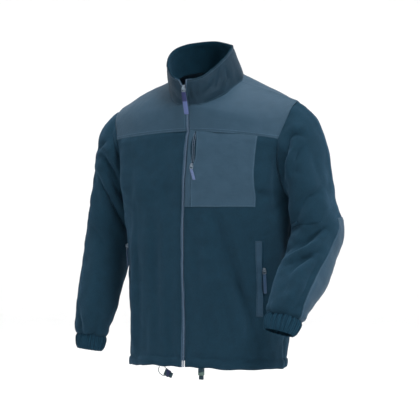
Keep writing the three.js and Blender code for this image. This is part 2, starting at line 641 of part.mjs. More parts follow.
// Panels
for (const p of [nets.front_right, nets.front_left, nets.back].flatMap(({ rows }) => rows.slice(0, 2).flat())) {
  p.hem = true;
}
const fleeceWall = (p) => (p.draw ? UNDERARM.wall : FLEECE);
const bodyWall = (p) => (p.hem ? HEM_WALL : fleeceWall(p));
for (const name of ['front_right', 'front_left', 'back']) {
  piece(name, wall(cells(nets[name]), 0, bodyWall), COLOUR.fleece);
}
piece('yoke_front_right', wall(cells(nets.yoke_front_right), 0, WOVEN), COLOUR.woven);
piece('yoke_front_left', wall(cells(nets.yoke_front_left), 0, WOVEN), COLOUR.woven);
piece('yoke_back', wall([...cells(nets.yoke_back_right), ...cells(nets.yoke_back_left)], 0, WOVEN), COLOUR.woven);
piece('collar', wall(cells(nets.collar), 0, WOVEN), COLOUR.woven);
const behindTape = FREE_GAP + TAPE + SEAM_GAP;
piece('collar_inner', wall(cells(nets.collar), -behindTape - 2, -behindTape), COLOUR.lining);

// Sleeves, cuffs and elbow patches
const overFleece = FLEECE + SEAM_GAP;
for (const name of ['right', 'left']) {
  const sleeve = nets[`sleeve_${name}`];
  const last = sleeve.rows.length - 1;
  const wrist = new Set(sleeve.rows[last]);
  const atWrist = (p, q) => wrist.has(p) && wrist.has(q);
  piece(`sleeve_${name}`, wall(cells(sleeve), 0, fleeceWall, atWrist), COLOUR.fleece);
  const elbow = part(sleeve, [PATCH.firstRow, last], [PATCH.fromColumn, PATCH.toColumn]);
  piece(`elbow_patch_${name}`, wall(elbow, overFleece, overFleece + WOVEN, atWrist), COLOUR.woven);
  const cuff = net(cuffGrid(SIDES[name]), rowMiddle, true);
  piece(`cuff_${name}`, wall(cells(cuff), 0, (p) => CUFF.wall + p.gather, () => true), COLOUR.cuff);
}

// Chest pocket on the wearer's left: a strip by the main zip, the pocket zip, and the pocket
const pocketRows = [10, nets.front_left.rows.length - 1];
const pocket = (columns) => part(nets.front_left, pocketRows, columns);
piece('chest_pocket_strip', wall(pocket([0, 1]), overFleece, overFleece + WOVEN), COLOUR.woven);
piece('chest_pocket', wall(pocket([2, 9]), overFleece, overFleece + WOVEN), COLOUR.woven);
piece('chest_zip_tape', wall(pocket([1, 2]), overFleece, overFleece + TAPE), COLOUR.zip);

// Side pocket welts with the zips that they hide
const WELT = { rows: [4, 8], columns: [9, 10] };
const sideZipTop = overFleece + 2.2;
for (const name of ['right', 'left']) {
  const front = nets[`front_${name}`];
  piece(`welt_${name}`, wall(part(front, WELT.rows, WELT.columns), overFleece, overFleece + WOVEN), COLOUR.woven);
  const strip = {
    rows: front.rows.slice(WELT.rows[0], WELT.rows[1] + 1).map((row) => [between(row, 10.02), between(row, 10.22)]),
    closed: false, flip: front.flip };
  piece(`side_zip_${name}`, wall(cells(strip), FLEECE + FREE_GAP, sideZipTop), COLOUR.zip);
}

// Main zip: a tape inside each front edge and the chain between them, parted above the slider
const edgeRows = (h, rowsUp, collarColumn) => [
  ...h.front.map((row) => ({ row, back: 2.2 / 12.5, inTo: 1 })),
  ...h.yoke.slice(1, YOKE.cfRows).map((row) => ({ row, back: 2.2 / 12.5, inTo: 1 })),
  ...nets.collar.rows.slice(0, rowsUp + 1).map((row) => {
    const inwards = collarColumn ? [...row].reverse() : row;
    return { row: inwards, back: 2.2 / inwards[0].distanceTo(inwards[1]), inTo: 0.5 };
  })];
const chainTop = COLLAR.sliderRow;
for (const [name, h] of [['right', right], ['left', left]]) {
  const isLeft = name === 'left';
  const flip = nets[`front_${name}`].flip;
  const tapeRows = edgeRows(h, COLLAR.heights.length - 1, isLeft).map(({ row, back, inTo }, i, all) => {
    const parted = i >= all.length - (COLLAR.heights.length - chainTop);
    return [between(row, parted ? 0.03 : -back), between(row, parted ? 0.12 : 0.1), between(row, inTo)];
  });
  piece(`zip_tape_${name}`,
    wall(cells({ rows: tapeRows, closed: false, flip }), -FREE_GAP - TAPE, -FREE_GAP), COLOUR.tape);
  const endRows = nets.collar.rows.slice(chainTop).map((row) => {
    const inwards = isLeft ? [...row].reverse() : row;
    const far = inwards[0].distanceTo(inwards[1]);
    return [between(inwards, -3.4 / far), between(inwards, -0.4 / far)];
  });
  piece(`zip_end_${name}`, wall(cells({ rows: endRows, closed: false, flip }), 0, 1.7), COLOUR.chain);
}
const rightEdge = edgeRows(right, chainTop, false), leftEdge = edgeRows(left, chainTop, true);
const chainRows = rightEdge.map((r, i) => {
  const l = leftEdge[i];
  return [between(r.row, -2.5 / 2.2 * r.back), between(l.row, -2.5 / 2.2 * l.back)];
});
piece('zip_chain', wall(cells({ rows: chainRows, closed: false, flip: false }), -1, 1.7), COLOUR.chain, 0.5);

// Sliders: a plate with a bridge that the bar of the pull lies under. Pulls: a frame with a window, then a grip.
const SLIDERS = [
  { name: 'main', long: 14, wide: 7, grip: 54, gripWide: 12, lean: 0.16, colours: ['metal', 'grip'] },
  { name: 'chest', long: 10, wide: 5, grip: 26, gripWide: 7.5, lean: 0.36, colours: ['metal', 'pale'] },
  { name: 'side_left', long: 10, wide: 5, grip: 46, gripWide: 8, lean: 0.03, colours: ['metal', 'pale'] },
  { name: 'side_right', long: 10, wide: 5, grip: 46, gripWide: 8, lean: -0.05, colours: ['metal', 'pale'] },
];
const BRIDGE = { plate: 2.4, hole: 2.1, top: 1.1, holeHalf: 2.2, legs: 1.4, bar: 1.1 };
function slider({ name, long, wide, grip, gripWide, lean, colours }, at, lift, hang) {
  const out = at.normal.clone();
  const up = at.up.clone().addScaledVector(out, -at.up.dot(out)).normalize();
  const across = up.clone().cross(out).normalize();
  const origin = at.clone().addScaledVector(out, lift);
  const { plate, hole, top, holeHalf, legs, bar } = BRIDGE;
  const reach = holeHalf + legs;
  // the side view, along the zip and outwards
  const outline = [[-long / 2, 0], [long / 2, 0], [long / 2, plate], [reach, plate],
    [reach, plate + hole + top - 0.6], [reach - 0.8, plate + hole + top], [-reach + 0.8, plate + hole + top],
    [-reach, plate + hole + top - 0.6], [-reach, plate], [-long / 2, plate]];
  piece(`${name}_slider`, slab(outline, [box(-holeHalf, holeHalf, plate + 0.2, plate + hole)], wide,
    { origin, across: up, up: out }), COLOUR[colours[0]], 0.4, 0.8);
  const pivot = origin.clone().addScaledVector(out, plate + hole / 2 + 0.1);
  const down = hang ? point(0, 0, -1) : up.clone().negate();
  const right2 = across.clone().addScaledVector(down, -across.dot(down)).normalize();
  const w = wide / 2 + 0.7, f = w + 1.2;
  const frame = { origin: pivot, across: right2, up: down.clone().negate() };
  piece(`${name}_pull`, slab([[-f, bar / 2], [-f, -8], [-f + 1.6, -9.4], [f - 1.6, -9.4], [f, -8], [f, bar / 2]],
    [box(-w, w, -7.6, -bar / 2)], bar, frame), COLOUR[colours[0]], 0.4, 0.8);
  const g = gripWide / 2, s = lean;
  const start = -9.4 - SEAM_GAP;
  const leanX = (y) => -(y - start) * s;
  const gripOutline = [[-g + 1, start], [-g, start - 1], [leanX(start - grip) - g, start - grip + 1],
    [leanX(start - grip) - g + 1, start - grip], [leanX(start - grip) + g - 1, start - grip],
    [leanX(start - grip) + g, start - grip + 1], [g, start - 1], [g - 1, start]];
  piece(`${name}_grip`, slab(gripOutline, [], 1.7, frame), COLOUR[colours[1]], 0.6);
}
const collarFront = {
  left: [...nets.collar.rows[chainTop]].reverse(), right: nets.collar.rows[chainTop] };
const mainAt = midway(between(collarFront.right, -0.1), between(collarFront.left, -0.1), 0.5);
mainAt.normal = midway(collarFront.right[0].normal, collarFront.left[0].normal, 0.5).normalize();
mainAt.normal.x = 0;
mainAt.normal.normalize();
mainAt.up = nets.collar.rows[chainTop + 1][0].clone().sub(nets.collar.rows[chainTop][0]);
mainAt.up.x = 0;
mainAt.up.normalize();
slider(SLIDERS[0], mainAt, 2.0, true);
const rowOf = (z) => {
  let k = 0;
  while (k < ROWS.length - 2 && ROWS[k + 1] < z) k += 1;
  return k + (z - ROWS[k]) / (ROWS[k + 1] - ROWS[k]);
};
const chestRow = ROWS.length - 1 + (UPPER_ROWS * (-218 - ROWS[ROWS.length - 1])) / (YOKE_SEAM_Z - ROWS[ROWS.length - 1]);
slider(SLIDERS[1], betweenRows(nets.front_left.rows, chestRow, 1.5), overFleece + TAPE + SEAM_GAP + 0.2, false);
slider(SLIDERS[2], betweenRows(nets.front_left.rows, rowOf(-468), 10.12), sideZipTop + 0.4, false);
slider(SLIDERS[3], betweenRows(nets.front_right.rows, rowOf(-414), 10.12), sideZipTop + 0.4, false);

// Hem cord and locks, out of the hem on both sides of the zip
const CORD = 1; // radius
const HOLE = { at: -8.1, half: 1.5 }; // the cord's way through the right lock
const LOCK = { deep: 9, bodyEnd: 3.5, shoulder: 1.4 };
const hemPoint = (name, column) => {
  const p = between(nets[`front_${name}`].rows[0], column);
  return p.clone().addScaledVector(p.normal, HEM_WALL / 2).add(point(0, 0, -SEAM_GAP / 2));
};
// A lock's body, with a hole across it if the cord runs through, and its button.
function lock(name, middle, turn, { wide, high, hole }) {
  const across = point(Math.cos(turn), 0, Math.sin(turn));
  const up = point(-Math.sin(turn), 0, Math.cos(turn));
  const frame = { origin: middle, across, up: point(0, 1, 0) };
  const holes = hole ? [box(HOLE.at - HOLE.half, HOLE.at + HOLE.half, -HOLE.half, HOLE.half)] : [];
  piece(`cord_lock_${name}`, slab(box(-wide / 2, LOCK.bodyEnd, -LOCK.deep / 2, LOCK.deep / 2, 1.4), holes,
    high, frame), COLOUR.lock, 0.5);
  const button = LOCK.deep / 2 - LOCK.shoulder;
  piece(`cord_button_${name}`, slab(box(LOCK.bodyEnd + SEAM_GAP, wide / 2, -button, button, 1), [],
    high - 2 * LOCK.shoulder, frame), COLOUR.lock, 0.5);
  return (x, y) => middle.clone().addScaledVector(across, x).addScaledVector(up, y);
}
const exits = [hemPoint('right', 3.95), hemPoint('right', 3.2)];
const rightLock = { wide: 22, high: 15, hole: true };
const along = lock('right', point(-40, exits[1].y, -722), -0.44, rightLock);
const below = (p) => p.clone().add(point(0, 0, -3)); // the cord leaves the hem straight down
const loopTurns = [{ x: -69.3, z: -712.5 }, { x: -67.5, z: -719.5 }, { x: -61.5, z: -725 }, { x: -55, z: -727.5 }];
const through = [-1, 0, 1].map((k) => along(HOLE.at, k * (rightLock.high / 2 + 0.8)));
piece('cord_right', tube([
  exits[0], below(exits[0]), ...loopTurns.map(({ x, z }) => point(x, exits[0].y, z)), ...through,
  below(exits[1]), exits[1]], CORD, 26), COLOUR.cord);
const hung = hemPoint('left', 3.2);
const leftLock = { wide: 27, high: 13.5, hole: false };
lock('left', point(hung.x, hung.y, hung.z - SEAM_GAP / 2 - leftLock.wide / 2), -Math.PI / 2, leftLock);

export default group;
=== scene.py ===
# %% [markdown]
# # A fleece jacket with woven yokes
# The jacket stands as if somebody wore it, but it is empty. Its cloth is built as thin shells on the same
# sections and seams as the solids of the frame, so both have one form. This lesson goes from the sections of
# the body to the shells, then to folds, stitches, zips and materials, and ends with light and camera.

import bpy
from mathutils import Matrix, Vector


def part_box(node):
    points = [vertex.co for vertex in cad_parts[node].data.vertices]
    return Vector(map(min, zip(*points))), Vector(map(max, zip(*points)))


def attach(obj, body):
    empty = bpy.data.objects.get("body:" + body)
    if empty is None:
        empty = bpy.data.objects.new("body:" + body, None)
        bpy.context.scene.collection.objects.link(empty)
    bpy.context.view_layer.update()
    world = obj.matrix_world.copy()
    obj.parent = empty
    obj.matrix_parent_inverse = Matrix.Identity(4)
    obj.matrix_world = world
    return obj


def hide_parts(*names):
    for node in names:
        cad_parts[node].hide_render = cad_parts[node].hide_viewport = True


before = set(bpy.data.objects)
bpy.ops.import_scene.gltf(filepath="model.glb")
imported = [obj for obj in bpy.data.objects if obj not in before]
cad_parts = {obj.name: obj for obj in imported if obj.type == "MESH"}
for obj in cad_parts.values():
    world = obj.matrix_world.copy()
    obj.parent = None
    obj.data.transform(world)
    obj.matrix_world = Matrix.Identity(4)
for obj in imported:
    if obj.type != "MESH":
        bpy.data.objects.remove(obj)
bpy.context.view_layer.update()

import math

import bmesh
import bpy
import numpy as np
from mathutils import Matrix, Vector, noise
from mathutils.bvhtree import BVHTree

MM = 0.001  # the tables below are in millimetres, Blender works in metres

# %% [markdown]
# ## Sections and seams
# A tailor works from a table of girths. Here the body has a half width, a depth in front and behind and a
# squareness at seven heights, and each sleeve has a middle line and two half widths. A smooth curve runs
# through the rows of a table, so that a few numbers give the whole form.

# %% Sizes
FLEECE, WOVEN, TAPE, HEM_WALL = 2.6, 1.4, 0.8, 5.6
SEAM_GAP, FREE_GAP = 0.3, 0.6
HEM_DROP_BACK = 11
FRONT_EDGE = 5.5
YOKE_SEAM_Z = -134
BODY = [
    dict(z=-720, half=212, front=136, back=118, square=2.3),
    dict(z=-600, half=213, front=131, back=112, square=2.35),
    dict(z=-425, half=216, front=138, back=116, square=2.3),
    dict(z=-290, half=222, front=134, back=124, square=2.6),
    dict(z=-175, half=224, front=120, back=120, square=3),
    dict(z=-134, half=224, front=112, back=113, square=3.2),
    dict(z=-73, half=224, front=115, back=104, square=3.2),
]
ROWS = [-704, -681, -648, -614, -579, -530, -480, -440, -399, -358, -318, -290]
UPPER_ROWS = 5
COLUMNS = [5.5, 18, 26, 45, 68, 92, 116, 140, 162, 182, 198]
SIDE_COLUMNS = 4
YOKE_ROWS = dict(cf=2, front=6, cb=3, back=5)
SIDES = dict(
    left=dict(
        sign=1, seam=-156, back_seam=-152, tip=-64, over=-81, tip_x=246, rise=2, reach=0.94, hem_in=12,
        hem_drop=5, neck_half=94, neck_drop=12, collar_drop=9,
        sleeve=[
            dict(z=-320, x=281, y=0, out=52, deep=76, edge=14),
            dict(z=-370, x=289, y=4, out=58, deep=72, edge=-8),
            dict(z=-415, x=290, y=-20, out=58, deep=67, edge=-17),
            dict(z=-480, x=289, y=-77, out=55, deep=58, edge=-25),
            dict(z=-538, x=284, y=-137, out=49, deep=44, edge=-22),
            dict(z=-572, x=278, y=-155, out=42, deep=22, edge=-19),
        ]),
    right=dict(
        sign=-1, seam=-148, back_seam=-150, tip=-67, over=-85, tip_x=251, rise=7, reach=1.16, hem_in=5,
        hem_drop=17, neck_half=86, neck_drop=0, collar_drop=0,
        sleeve=[
            dict(z=-320, x=281, y=0, out=52, deep=76, edge=14),
            dict(z=-395, x=293, y=4, out=56, deep=70, edge=-8),
            dict(z=-440, x=297, y=-6, out=55, deep=66, edge=-17),
            dict(z=-520, x=300, y=-32, out=50, deep=58, edge=-25),
            dict(z=-598, x=303, y=-60, out=46, deep=48, edge=-22),
            dict(z=-643, x=307, y=-66, out=37, deep=27, edge=-19),
        ]))
CAP_ROWS, RING_ROWS = 6, 15
PATCH = dict(first_row=8, from_column=10, to_column=22)
CUFF = dict(high=38, gathers=16, wall=2.2, gather_depth=1.3)
CUFF_SHAPE = [
    dict(down=0, grow=-2.5), dict(down=8, grow=1.2), dict(down=22, grow=1), dict(down=32, grow=-1.5),
    dict(down=38, grow=-6)]
NECK = dict(centre_y=-20, depth=95)
COLLAR = dict(
    half=80, centre_y=-51, depth=81, top_z=56.25, tilt=54.5, saddle=10.75,
    heights=[0, 0.17, 0.34, 0.52, 0.69, 0.85, 1], slider_row=4, open_right=12, open_left=4)

# %% Smooth curves and tables
def mix(a, b, t):
    return a + (b - a) * t


def hermite(a, leave, b, arrive, t):
    t2, t3 = t * t, t * t * t
    return a * (2 * t3 - 3 * t2 + 1) + leave * (t3 - 2 * t2 + t) + b * (3 * t2 - 2 * t3) + arrive * (t3 - t2)


def read(table, at):
    """All columns of a table at a height, smoothly between its rows."""
    last = len(table) - 1
    rising = 1 if table[last]["z"] > table[0]["z"] else -1
    k = 0
    while k < last - 1 and (at - table[k + 1]["z"]) * rising > 0:
        k += 1
    a, b = table[k], table[k + 1]
    before, after = table[max(0, k - 1)], table[min(last, k + 2)]
    span = b["z"] - a["z"]
    t = (at - a["z"]) / span
    row = {}
    for name in a:
        leave = (b[name] - before[name]) / (b["z"] - before["z"]) * span
        arrive = (after[name] - a[name]) / (after["z"] - a["z"]) * span
        row[name] = hermite(a[name], leave, b[name], arrive, t)
    return row


def at_distances(curve, distances, steps=600):
    """Points at given distances along a finely sampled curve."""
    fine = [curve(k / steps) for k in range(steps + 1)]
    run = [0.0]
    for k in range(1, steps + 1):
        run.append(run[-1] + (fine[k] - fine[k - 1]).length)
    points, k = [], 0
    for wanted in distances(run[-1]):
        while k < steps - 1 and run[k + 1] < wanted:
            k += 1
        points.append(mix(fine[k], fine[k + 1], (wanted - run[k]) / (run[k + 1] - run[k])))
    return points


def smooth_points(points, count):
    """Evenly spaced points on a smooth curve through a few given ones."""
    ends = [points[0] * 2 - points[1], *points, points[-1] * 2 - points[-2]]

    def curve(t):
        k = min(int(t * (len(points) - 1)), len(points) - 2)
        w = t * (len(points) - 1) - k
        p0, p1, p2, p3 = ends[k:k + 4]
        d0, d1, d2 = (math.sqrt((b - a).length) for a, b in ((p0, p1), (p1, p2), (p2, p3)))
        leave = ((p1 - p0) / d0 - (p2 - p0) / (d0 + d1) + (p2 - p1) / d1) * d1
        arrive = ((p2 - p1) / d1 - (p3 - p1) / (d1 + d2) + (p3 - p2) / d2) * d1
        return hermite(p1, leave, p2, arrive, w)
    return at_distances(curve, lambda total: [total * k / count for k in range(count + 1)])


def front_distances(total):
    last = COLUMNS[-1]
    return COLUMNS + [mix(last, total, (k + 1) / SIDE_COLUMNS) for k in range(SIDE_COLUMNS)]


# %% Body sections
def hem_drop(z, t, way, side):
    low = min(1, max(0, (-560 - z) / 110))
    return low * (t ** 1.5 * side["hem_drop"] if way < 0 else mix(HEM_DROP_BACK, side["hem_drop"], t))


def half_width(z, side):
    return read(BODY, z)["half"] - side["hem_in"] * max(0, (-420 - z) / 286) ** 1.5


def quarter(z, way, side):
    """A quarter of the body's section at a height, front (way -1) or back (way 1)."""
    s = read(BODY, z)
    deep = s["front"] if way < 0 else s["back"]

    def curve(t):
        angle = t * math.pi / 2
        return Vector((
            half_width(z, side) * math.sin(angle) ** (2 / s["square"]),
            way * deep * max(0, math.cos(angle)) ** (2 / s["square"]), z - hem_drop(z, t, way, side)))
    return curve


def neck(angle, side):
    return Vector((
        side["neck_half"] * math.sin(angle), NECK["centre_y"] - NECK["depth"] * math.cos(angle),
        -11.25 - 50.5 * math.cos(angle) - 11.25 * math.cos(2 * angle) - side["neck_drop"] * math.sin(angle)))


def coons(bottom, top, inner, outer, across, ease=1):
    """A grid of points between four edges, whose points it shares."""
    last, side = len(inner) - 1, len(bottom) - 1
    grid = []
    for i in range(last + 1):
        if i in (0, last):
            grid.append(list(bottom if i == 0 else top))
            continue
        v, row = i / last, []
        for j in range(side + 1):
            if j in (0, side):
                row.append(inner[i] if j == 0 else outer[i])
                continue
            u = across[j] ** ease
            p = mix(bottom[j], top[j], v)
            p += (inner[i] - mix(inner[0], inner[last], v)) * (1 - u)
            row.append(p + (outer[i] - mix(outer[0], outer[last], v)) * u)
        grid.append(row)
    return grid


# %% One half of the body
def half_body(side, centre_back):
    last_z = ROWS[-1]
    front_end = Vector((224, -76, side["seam"]))
    back_end = Vector((224, 70, side["back_seam"]))
    tip = Vector((side["tip_x"], -10, side["tip"]))
    seam = at_distances(lambda t: Vector((
        224 * t, -(110 - 34 * t ** 3.2), YOKE_SEAM_Z + (side["seam"] - YOKE_SEAM_Z) * t ** 1.5)), front_distances)
    seam[-1] = front_end
    across = [(p.x - FRONT_EDGE) / (224 - FRONT_EDGE) for p in seam]
    back_seam = [centre_back["seam"]] + [Vector((
        224 * t, 113 - 43 * t ** 3, centre_back["seam_z"] + (side["back_seam"] - centre_back["seam_z"]) * t ** 1.5))
        for t in across[1:]]
    back_seam[-1] = back_end
    side_seam = [Vector((half_width(z, side), 0, z - hem_drop(z, 1, 1, side))) for z in ROWS]
    pit = side_seam[-1]
    low_front = smooth_points([pit, Vector((221, -34, -276)), Vector((217, -50, -250)), Vector((217, -62, -205)),
                               front_end], UPPER_ROWS)
    low_back = smooth_points([pit, Vector((221, 28, -272)), Vector((217, 50, -250)), Vector((217, 62, -205)),
                              back_end], UPPER_ROWS)
    upper = YOKE_ROWS["cf"] + YOKE_ROWS["front"]
    over = side["over"]
    high_front = smooth_points([front_end, Vector((238, -58, mix(side["seam"], over, 0.62))),
                                Vector((side["tip_x"] - 3, -38, over)), tip], upper)
    high_back = smooth_points([back_end, Vector((238, 52, mix(side["back_seam"], over, 0.62))),
                               Vector((side["tip_x"] - 3, 22, over + 8)), tip], upper)
    low_front[0] = low_back[0] = pit
    low_front[-1] = high_front[0] = front_end
    low_back[-1] = high_back[0] = back_end
    high_front[-1] = high_back[-1] = tip
    start = math.asin(FRONT_EDGE / side["neck_half"])
    neck_front = [neck(mix(start, math.pi / 2, k / YOKE_ROWS["front"]), side)
                  for k in range(YOKE_ROWS["front"] + 1)]
    neck_back = [neck(math.pi - k / YOKE_ROWS["back"] * math.pi / 2, side) for k in range(YOKE_ROWS["back"] + 1)]
    neck_back[0], neck_back[-1] = centre_back["neck"], neck_front[-1]
    shoulder = [mix(neck_front[-1], tip, t) + Vector((0, 0, side["rise"] * math.sin(math.pi * t))) for t in across]
    shoulder[0], shoulder[-1] = neck_front[-1], tip

    low = []
    for i, z in enumerate(ROWS):
        row = at_distances(quarter(z, -1, side), front_distances)
        row[-1] = side_seam[i]
        low.append(row)
    top = low.pop()
    centre_front = [Vector((FRONT_EDGE, -read(BODY, z)["front"], z)) for z in
                    (mix(last_z, YOKE_SEAM_Z, k / UPPER_ROWS) for k in range(UPPER_ROWS + 1))]
    centre_front[0], centre_front[-1] = top[0], seam[0]
    front = low + coons(top, seam, centre_front, low_front, across, 5)
    yoke = coons(seam, shoulder, [seam[0], mix(seam[0], neck_front[0], 0.5), *neck_front], high_front, across)

    low = []
    for i, z in enumerate(ROWS):
        row = at_distances(quarter(z, 1, side), lambda total: [t * total for t in across])
        row[0], row[-1] = centre_back["low"][i], side_seam[i]
        low.append(row)
    top = low.pop()
    back = low + coons(top, back_seam, [top[0], *centre_back["high"], centre_back["seam"]], low_back, across, 5)
    yoke_back = coons(back_seam, shoulder,
                      [centre_back["seam"], *centre_back["yoke"], centre_back["neck"], *neck_back[1:]],
                      high_back, across)
    loop = low_front + high_front[1:] + high_back[:-1][::-1] + low_back[1:-1][::-1]
    for p in {id(p): p for net in (front, yoke, back, yoke_back) for row in net for p in row}.values():
        p.x *= side["sign"]
    return dict(front=front, yoke=yoke, back=back, yoke_back=yoke_back, loop=loop,
                neck_front=neck_front, neck_back=neck_back)


def centre_back_line():
    seam_z = -140

    def at(z, y=None):
        return Vector((0, read(BODY, z)["back"] if y is None else y, z))
    low = [at(z) - Vector((0, 0, hem_drop(z, 0, 1, SIDES["left"]))) for z in ROWS]
    high = [at(mix(ROWS[-1], seam_z, (k + 1) / UPPER_ROWS)) for k in range(UPPER_ROWS - 1)]
    neck_point = neck(math.pi, SIDES["left"])
    neck_point.x = 0
    return dict(seam_z=seam_z, low=low, high=high, seam=at(seam_z, 113), yoke=[at(-84, 106), at(-28, 93)],
                neck=neck_point)


# %% Sleeves, cuffs and collar
def sleeve_ring(side, z):
    """A ring of the sleeve at a height: its middle, the way down the sleeve, its two axes and its sizes."""
    def middle(at):
        r = read(side["sleeve"], at)
        return Vector((side["sign"] * r["x"], r["y"], at))
    near = max(z, side["sleeve"][-1]["z"] + 3)
    way = (middle(near - 3) - middle(near + 3)).normalized()
    out = Vector((side["sign"], 0, 0))
    out = (out - way * out.dot(way)).normalized()
    back = Vector((0, 1, 0))
    back = back - way * back.dot(way)
    back = (back - out * back.dot(out)).normalized()
    row = read(side["sleeve"], z)
    return dict(middle=middle(z), way=way, out=out, back=back, wide=row["out"], deep=row["deep"], edge=row["edge"])


def on_ring(r, angle, grow=0):
    return (r["middle"] + r["out"] * (math.cos(angle) * (r["wide"] + grow))
            + r["back"] * (math.sin(angle) * (r["deep"] + grow)))


TIP = UPPER_ROWS + YOKE_ROWS["cf"] + YOKE_ROWS["front"]


def column_angles(loop):
    run = [0.0]
    for k in range(1, len(loop) + 1):
        run.append(run[-1] + (loop[k % len(loop)] - loop[k - 1]).length)
    return [math.pi * (run[k] / run[TIP] - 1) if k <= TIP
            else math.pi * (run[k] - run[TIP]) / (run[-1] - run[TIP]) for k in range(len(loop))]


def leaned(angle, edge_angle, edge):
    bump = math.exp(-(((angle - edge_angle) / 0.75) ** 2))
    return angle + (math.radians(edge) - edge_angle) * bump


def sleeve_grid(side, loop):
    angles = column_angles(loop)
    edge_angle = angles[PATCH["from_column"]]
    first, last = side["sleeve"][0]["z"], side["sleeve"][-1]["z"]
    top = sleeve_ring(side, first)
    grid = [loop]
    for k in range(CAP_ROWS):
        t, row = (k + 1) / CAP_ROWS, []
        for j, start in enumerate(loop):
            end = on_ring(top, leaned(angles[j], edge_angle, top["edge"]))
            far = (end - start).length
            under = (1 - math.cos(angles[j])) / 2
            drop = mix(0.42, 0.25, under) + 1.8 * under * (1 - under)
            leave = Vector((side["sign"] * 0.9, start.y / 260, -drop)).normalized() * (
                far * (side["reach"] + under ** 4))
            row.append(hermite(start, leave, end, top["way"] * far, t))
        grid.append(row)
    for k in range(RING_ROWS):
        r = sleeve_ring(side, mix(first, last, (k + 1) / RING_ROWS))
        pull = -SEAM_GAP / 2 if k == RING_ROWS - 1 else 0
        grid.append([on_ring(r, leaned(a, edge_angle, r["edge"])) + r["way"] * pull for a in angles])
    return grid


def collar_grid(right, left):
    def half_loop(h):
        return h["neck_front"] + h["neck_back"][1:-1][::-1]
    base = half_loop(right) + [right["neck_back"][0]] + half_loop(left)[::-1]
    middle, low = (len(base) - 1) / 2, math.asin(FRONT_EDGE / COLLAR["half"])
    grid = []
    for h in COLLAR["heights"]:
        if h == 0:
            grid.append(base)
            continue
        row = []
        for j, p in enumerate(base):
            step = min(j, len(base) - 1 - j)
            front = YOKE_ROWS["front"]
            angle = (mix(low, math.pi / 2, step / front) if step <= front
                     else mix(math.pi / 2, math.pi, (step - front) / YOKE_ROWS["back"]))
            s = -1 if j < middle else 1
            lower = SIDES["right" if s < 0 else "left"]["collar_drop"] * min(1, 1.8 * math.sin(angle))
            top = Vector((
                s * COLLAR["half"] * math.sin(angle), COLLAR["centre_y"] - COLLAR["depth"] * math.cos(angle),
                COLLAR["top_z"] - COLLAR["tilt"] * math.cos(angle) - COLLAR["saddle"] * math.cos(2 * angle) - lower))
            if j == middle:
                top.x = 0
            q = mix(p, top, h)
            swell = 1.5 * math.sin(math.pi * h)
            q += Vector((s * math.sin(angle) * swell, -math.cos(angle) * swell, 0))
            start = COLLAR["heights"][COLLAR["slider_row"]]
            open_by = max(0, (h - start) / (1 - start)) * (1, 0.4, 0.1, 0)[min(step, 3)]
            q.x += (-COLLAR["open_right"] if s < 0 else COLLAR["open_left"]) * open_by
            row.append(q)
        grid.append(row)
    return grid


# %% All nets of the jacket
centre_back = centre_back_line()
halves = {name: half_body(SIDES[name], centre_back) for name in ("right", "left")}
right, left = halves["right"], halves["left"]


back_net = [list(reversed(a[1:])) + list(b) for a, b in zip(right["back"], left["back"])]
nets = {
    "front_right": right["front"], "front_left": left["front"], "back": back_net,
    "yoke_front_right": right["yoke"], "yoke_front_left": left["yoke"],
    "yoke_back_right": right["yoke_back"], "yoke_back_left": left["yoke_back"],
    "sleeve_right": sleeve_grid(SIDES["right"], right["loop"]),
    "sleeve_left": sleeve_grid(SIDES["left"], left["loop"]),
    "collar": collar_grid(right, left),
}
CLOSED = {"sleeve_right", "sleeve_left"}
print("nets:", {name: (len(rows), len(rows[0])) for name, rows in nets.items()})

# %% [markdown]
# ## Folds
# Large folds are soft ridges and troughs along lines. The first tables are the folds that the solids have too.
# They move the points of the nets along the normals before any finer surface is made, so shell and solid agree.

# %% Large folds
BODY_FOLDS = [
    ((-132, -100, -250), (-150, -95, -690), 7, 16), ((-108, -115, -330), (-118, -115, -690), -5, 16),
    ((-176, -70, -330), (-184, -70, -680), -5, 16), ((-60, -130, -420), (-70, -130, -700), 3, 20),
    ((92, -120, -345), (123, -115, -470), -5, 17), ((123, -115, -470), (172, -90, -650), -6, 18),
    ((70, -125, -400), (110, -120, -640), 5, 22), ((205, -40, -340), (205, -30, -600), 4, 20),
    ((205, -60, -205), (170, -100, -300), 4, 18), ((-205, -60, -205), (-172, -100, -290), 4, 18),
    ((-60, 118, -230), (-90, 112, -650), 5, 26), ((70, 118, -260), (60, 112, -680), -5, 24),
    ((-150, 90, -260), (-165, 80, -620), -5, 22), ((150, 90, -240), (140, 85, -660), 5, 24),
    ((10, 122, -250), (0, 115, -560), 3, 24),
]
SLEEVE_FOLDS = [
    ((306, -20, -278), (256, -66, -358), -7, 13), ((318, -30, -318), (262, -70, -395), 4, 14),
    ((326, -45, -374), (236, -85, -446), -8, 13), ((322, -60, -420), (262, -100, -462), 5, 13),
    ((314, -95, -432), (262, -125, -470), -6, 11), ((310, -110, -470), (256, -160, -545), -5, 12),
    ((330, 30, -392), (280, 74, -430), 5, 16), ((276, 78, -330), (240, 60, -400), -5, 15),
    ((-262, -60, -200), (-240, -64, -275), -7, 13), ((-288, -55, -250), (-268, -72, -300), -5, 12),
    ((-268, -72, -300), (-244, -60, -378), -6, 12), ((-300, -62, -330), (-262, -70, -410), 4, 14),
    ((-322, -50, -440), (-262, -66, -500), -5, 13), ((-330, 20, -462), (-300, 60, -500), 5, 14),
    ((-318, -70, -540), (-262, -80, -590), -4, 13), ((-270, 72, -330), (-300, 66, -430), -5, 16),
]
FOLD_REACH = 38


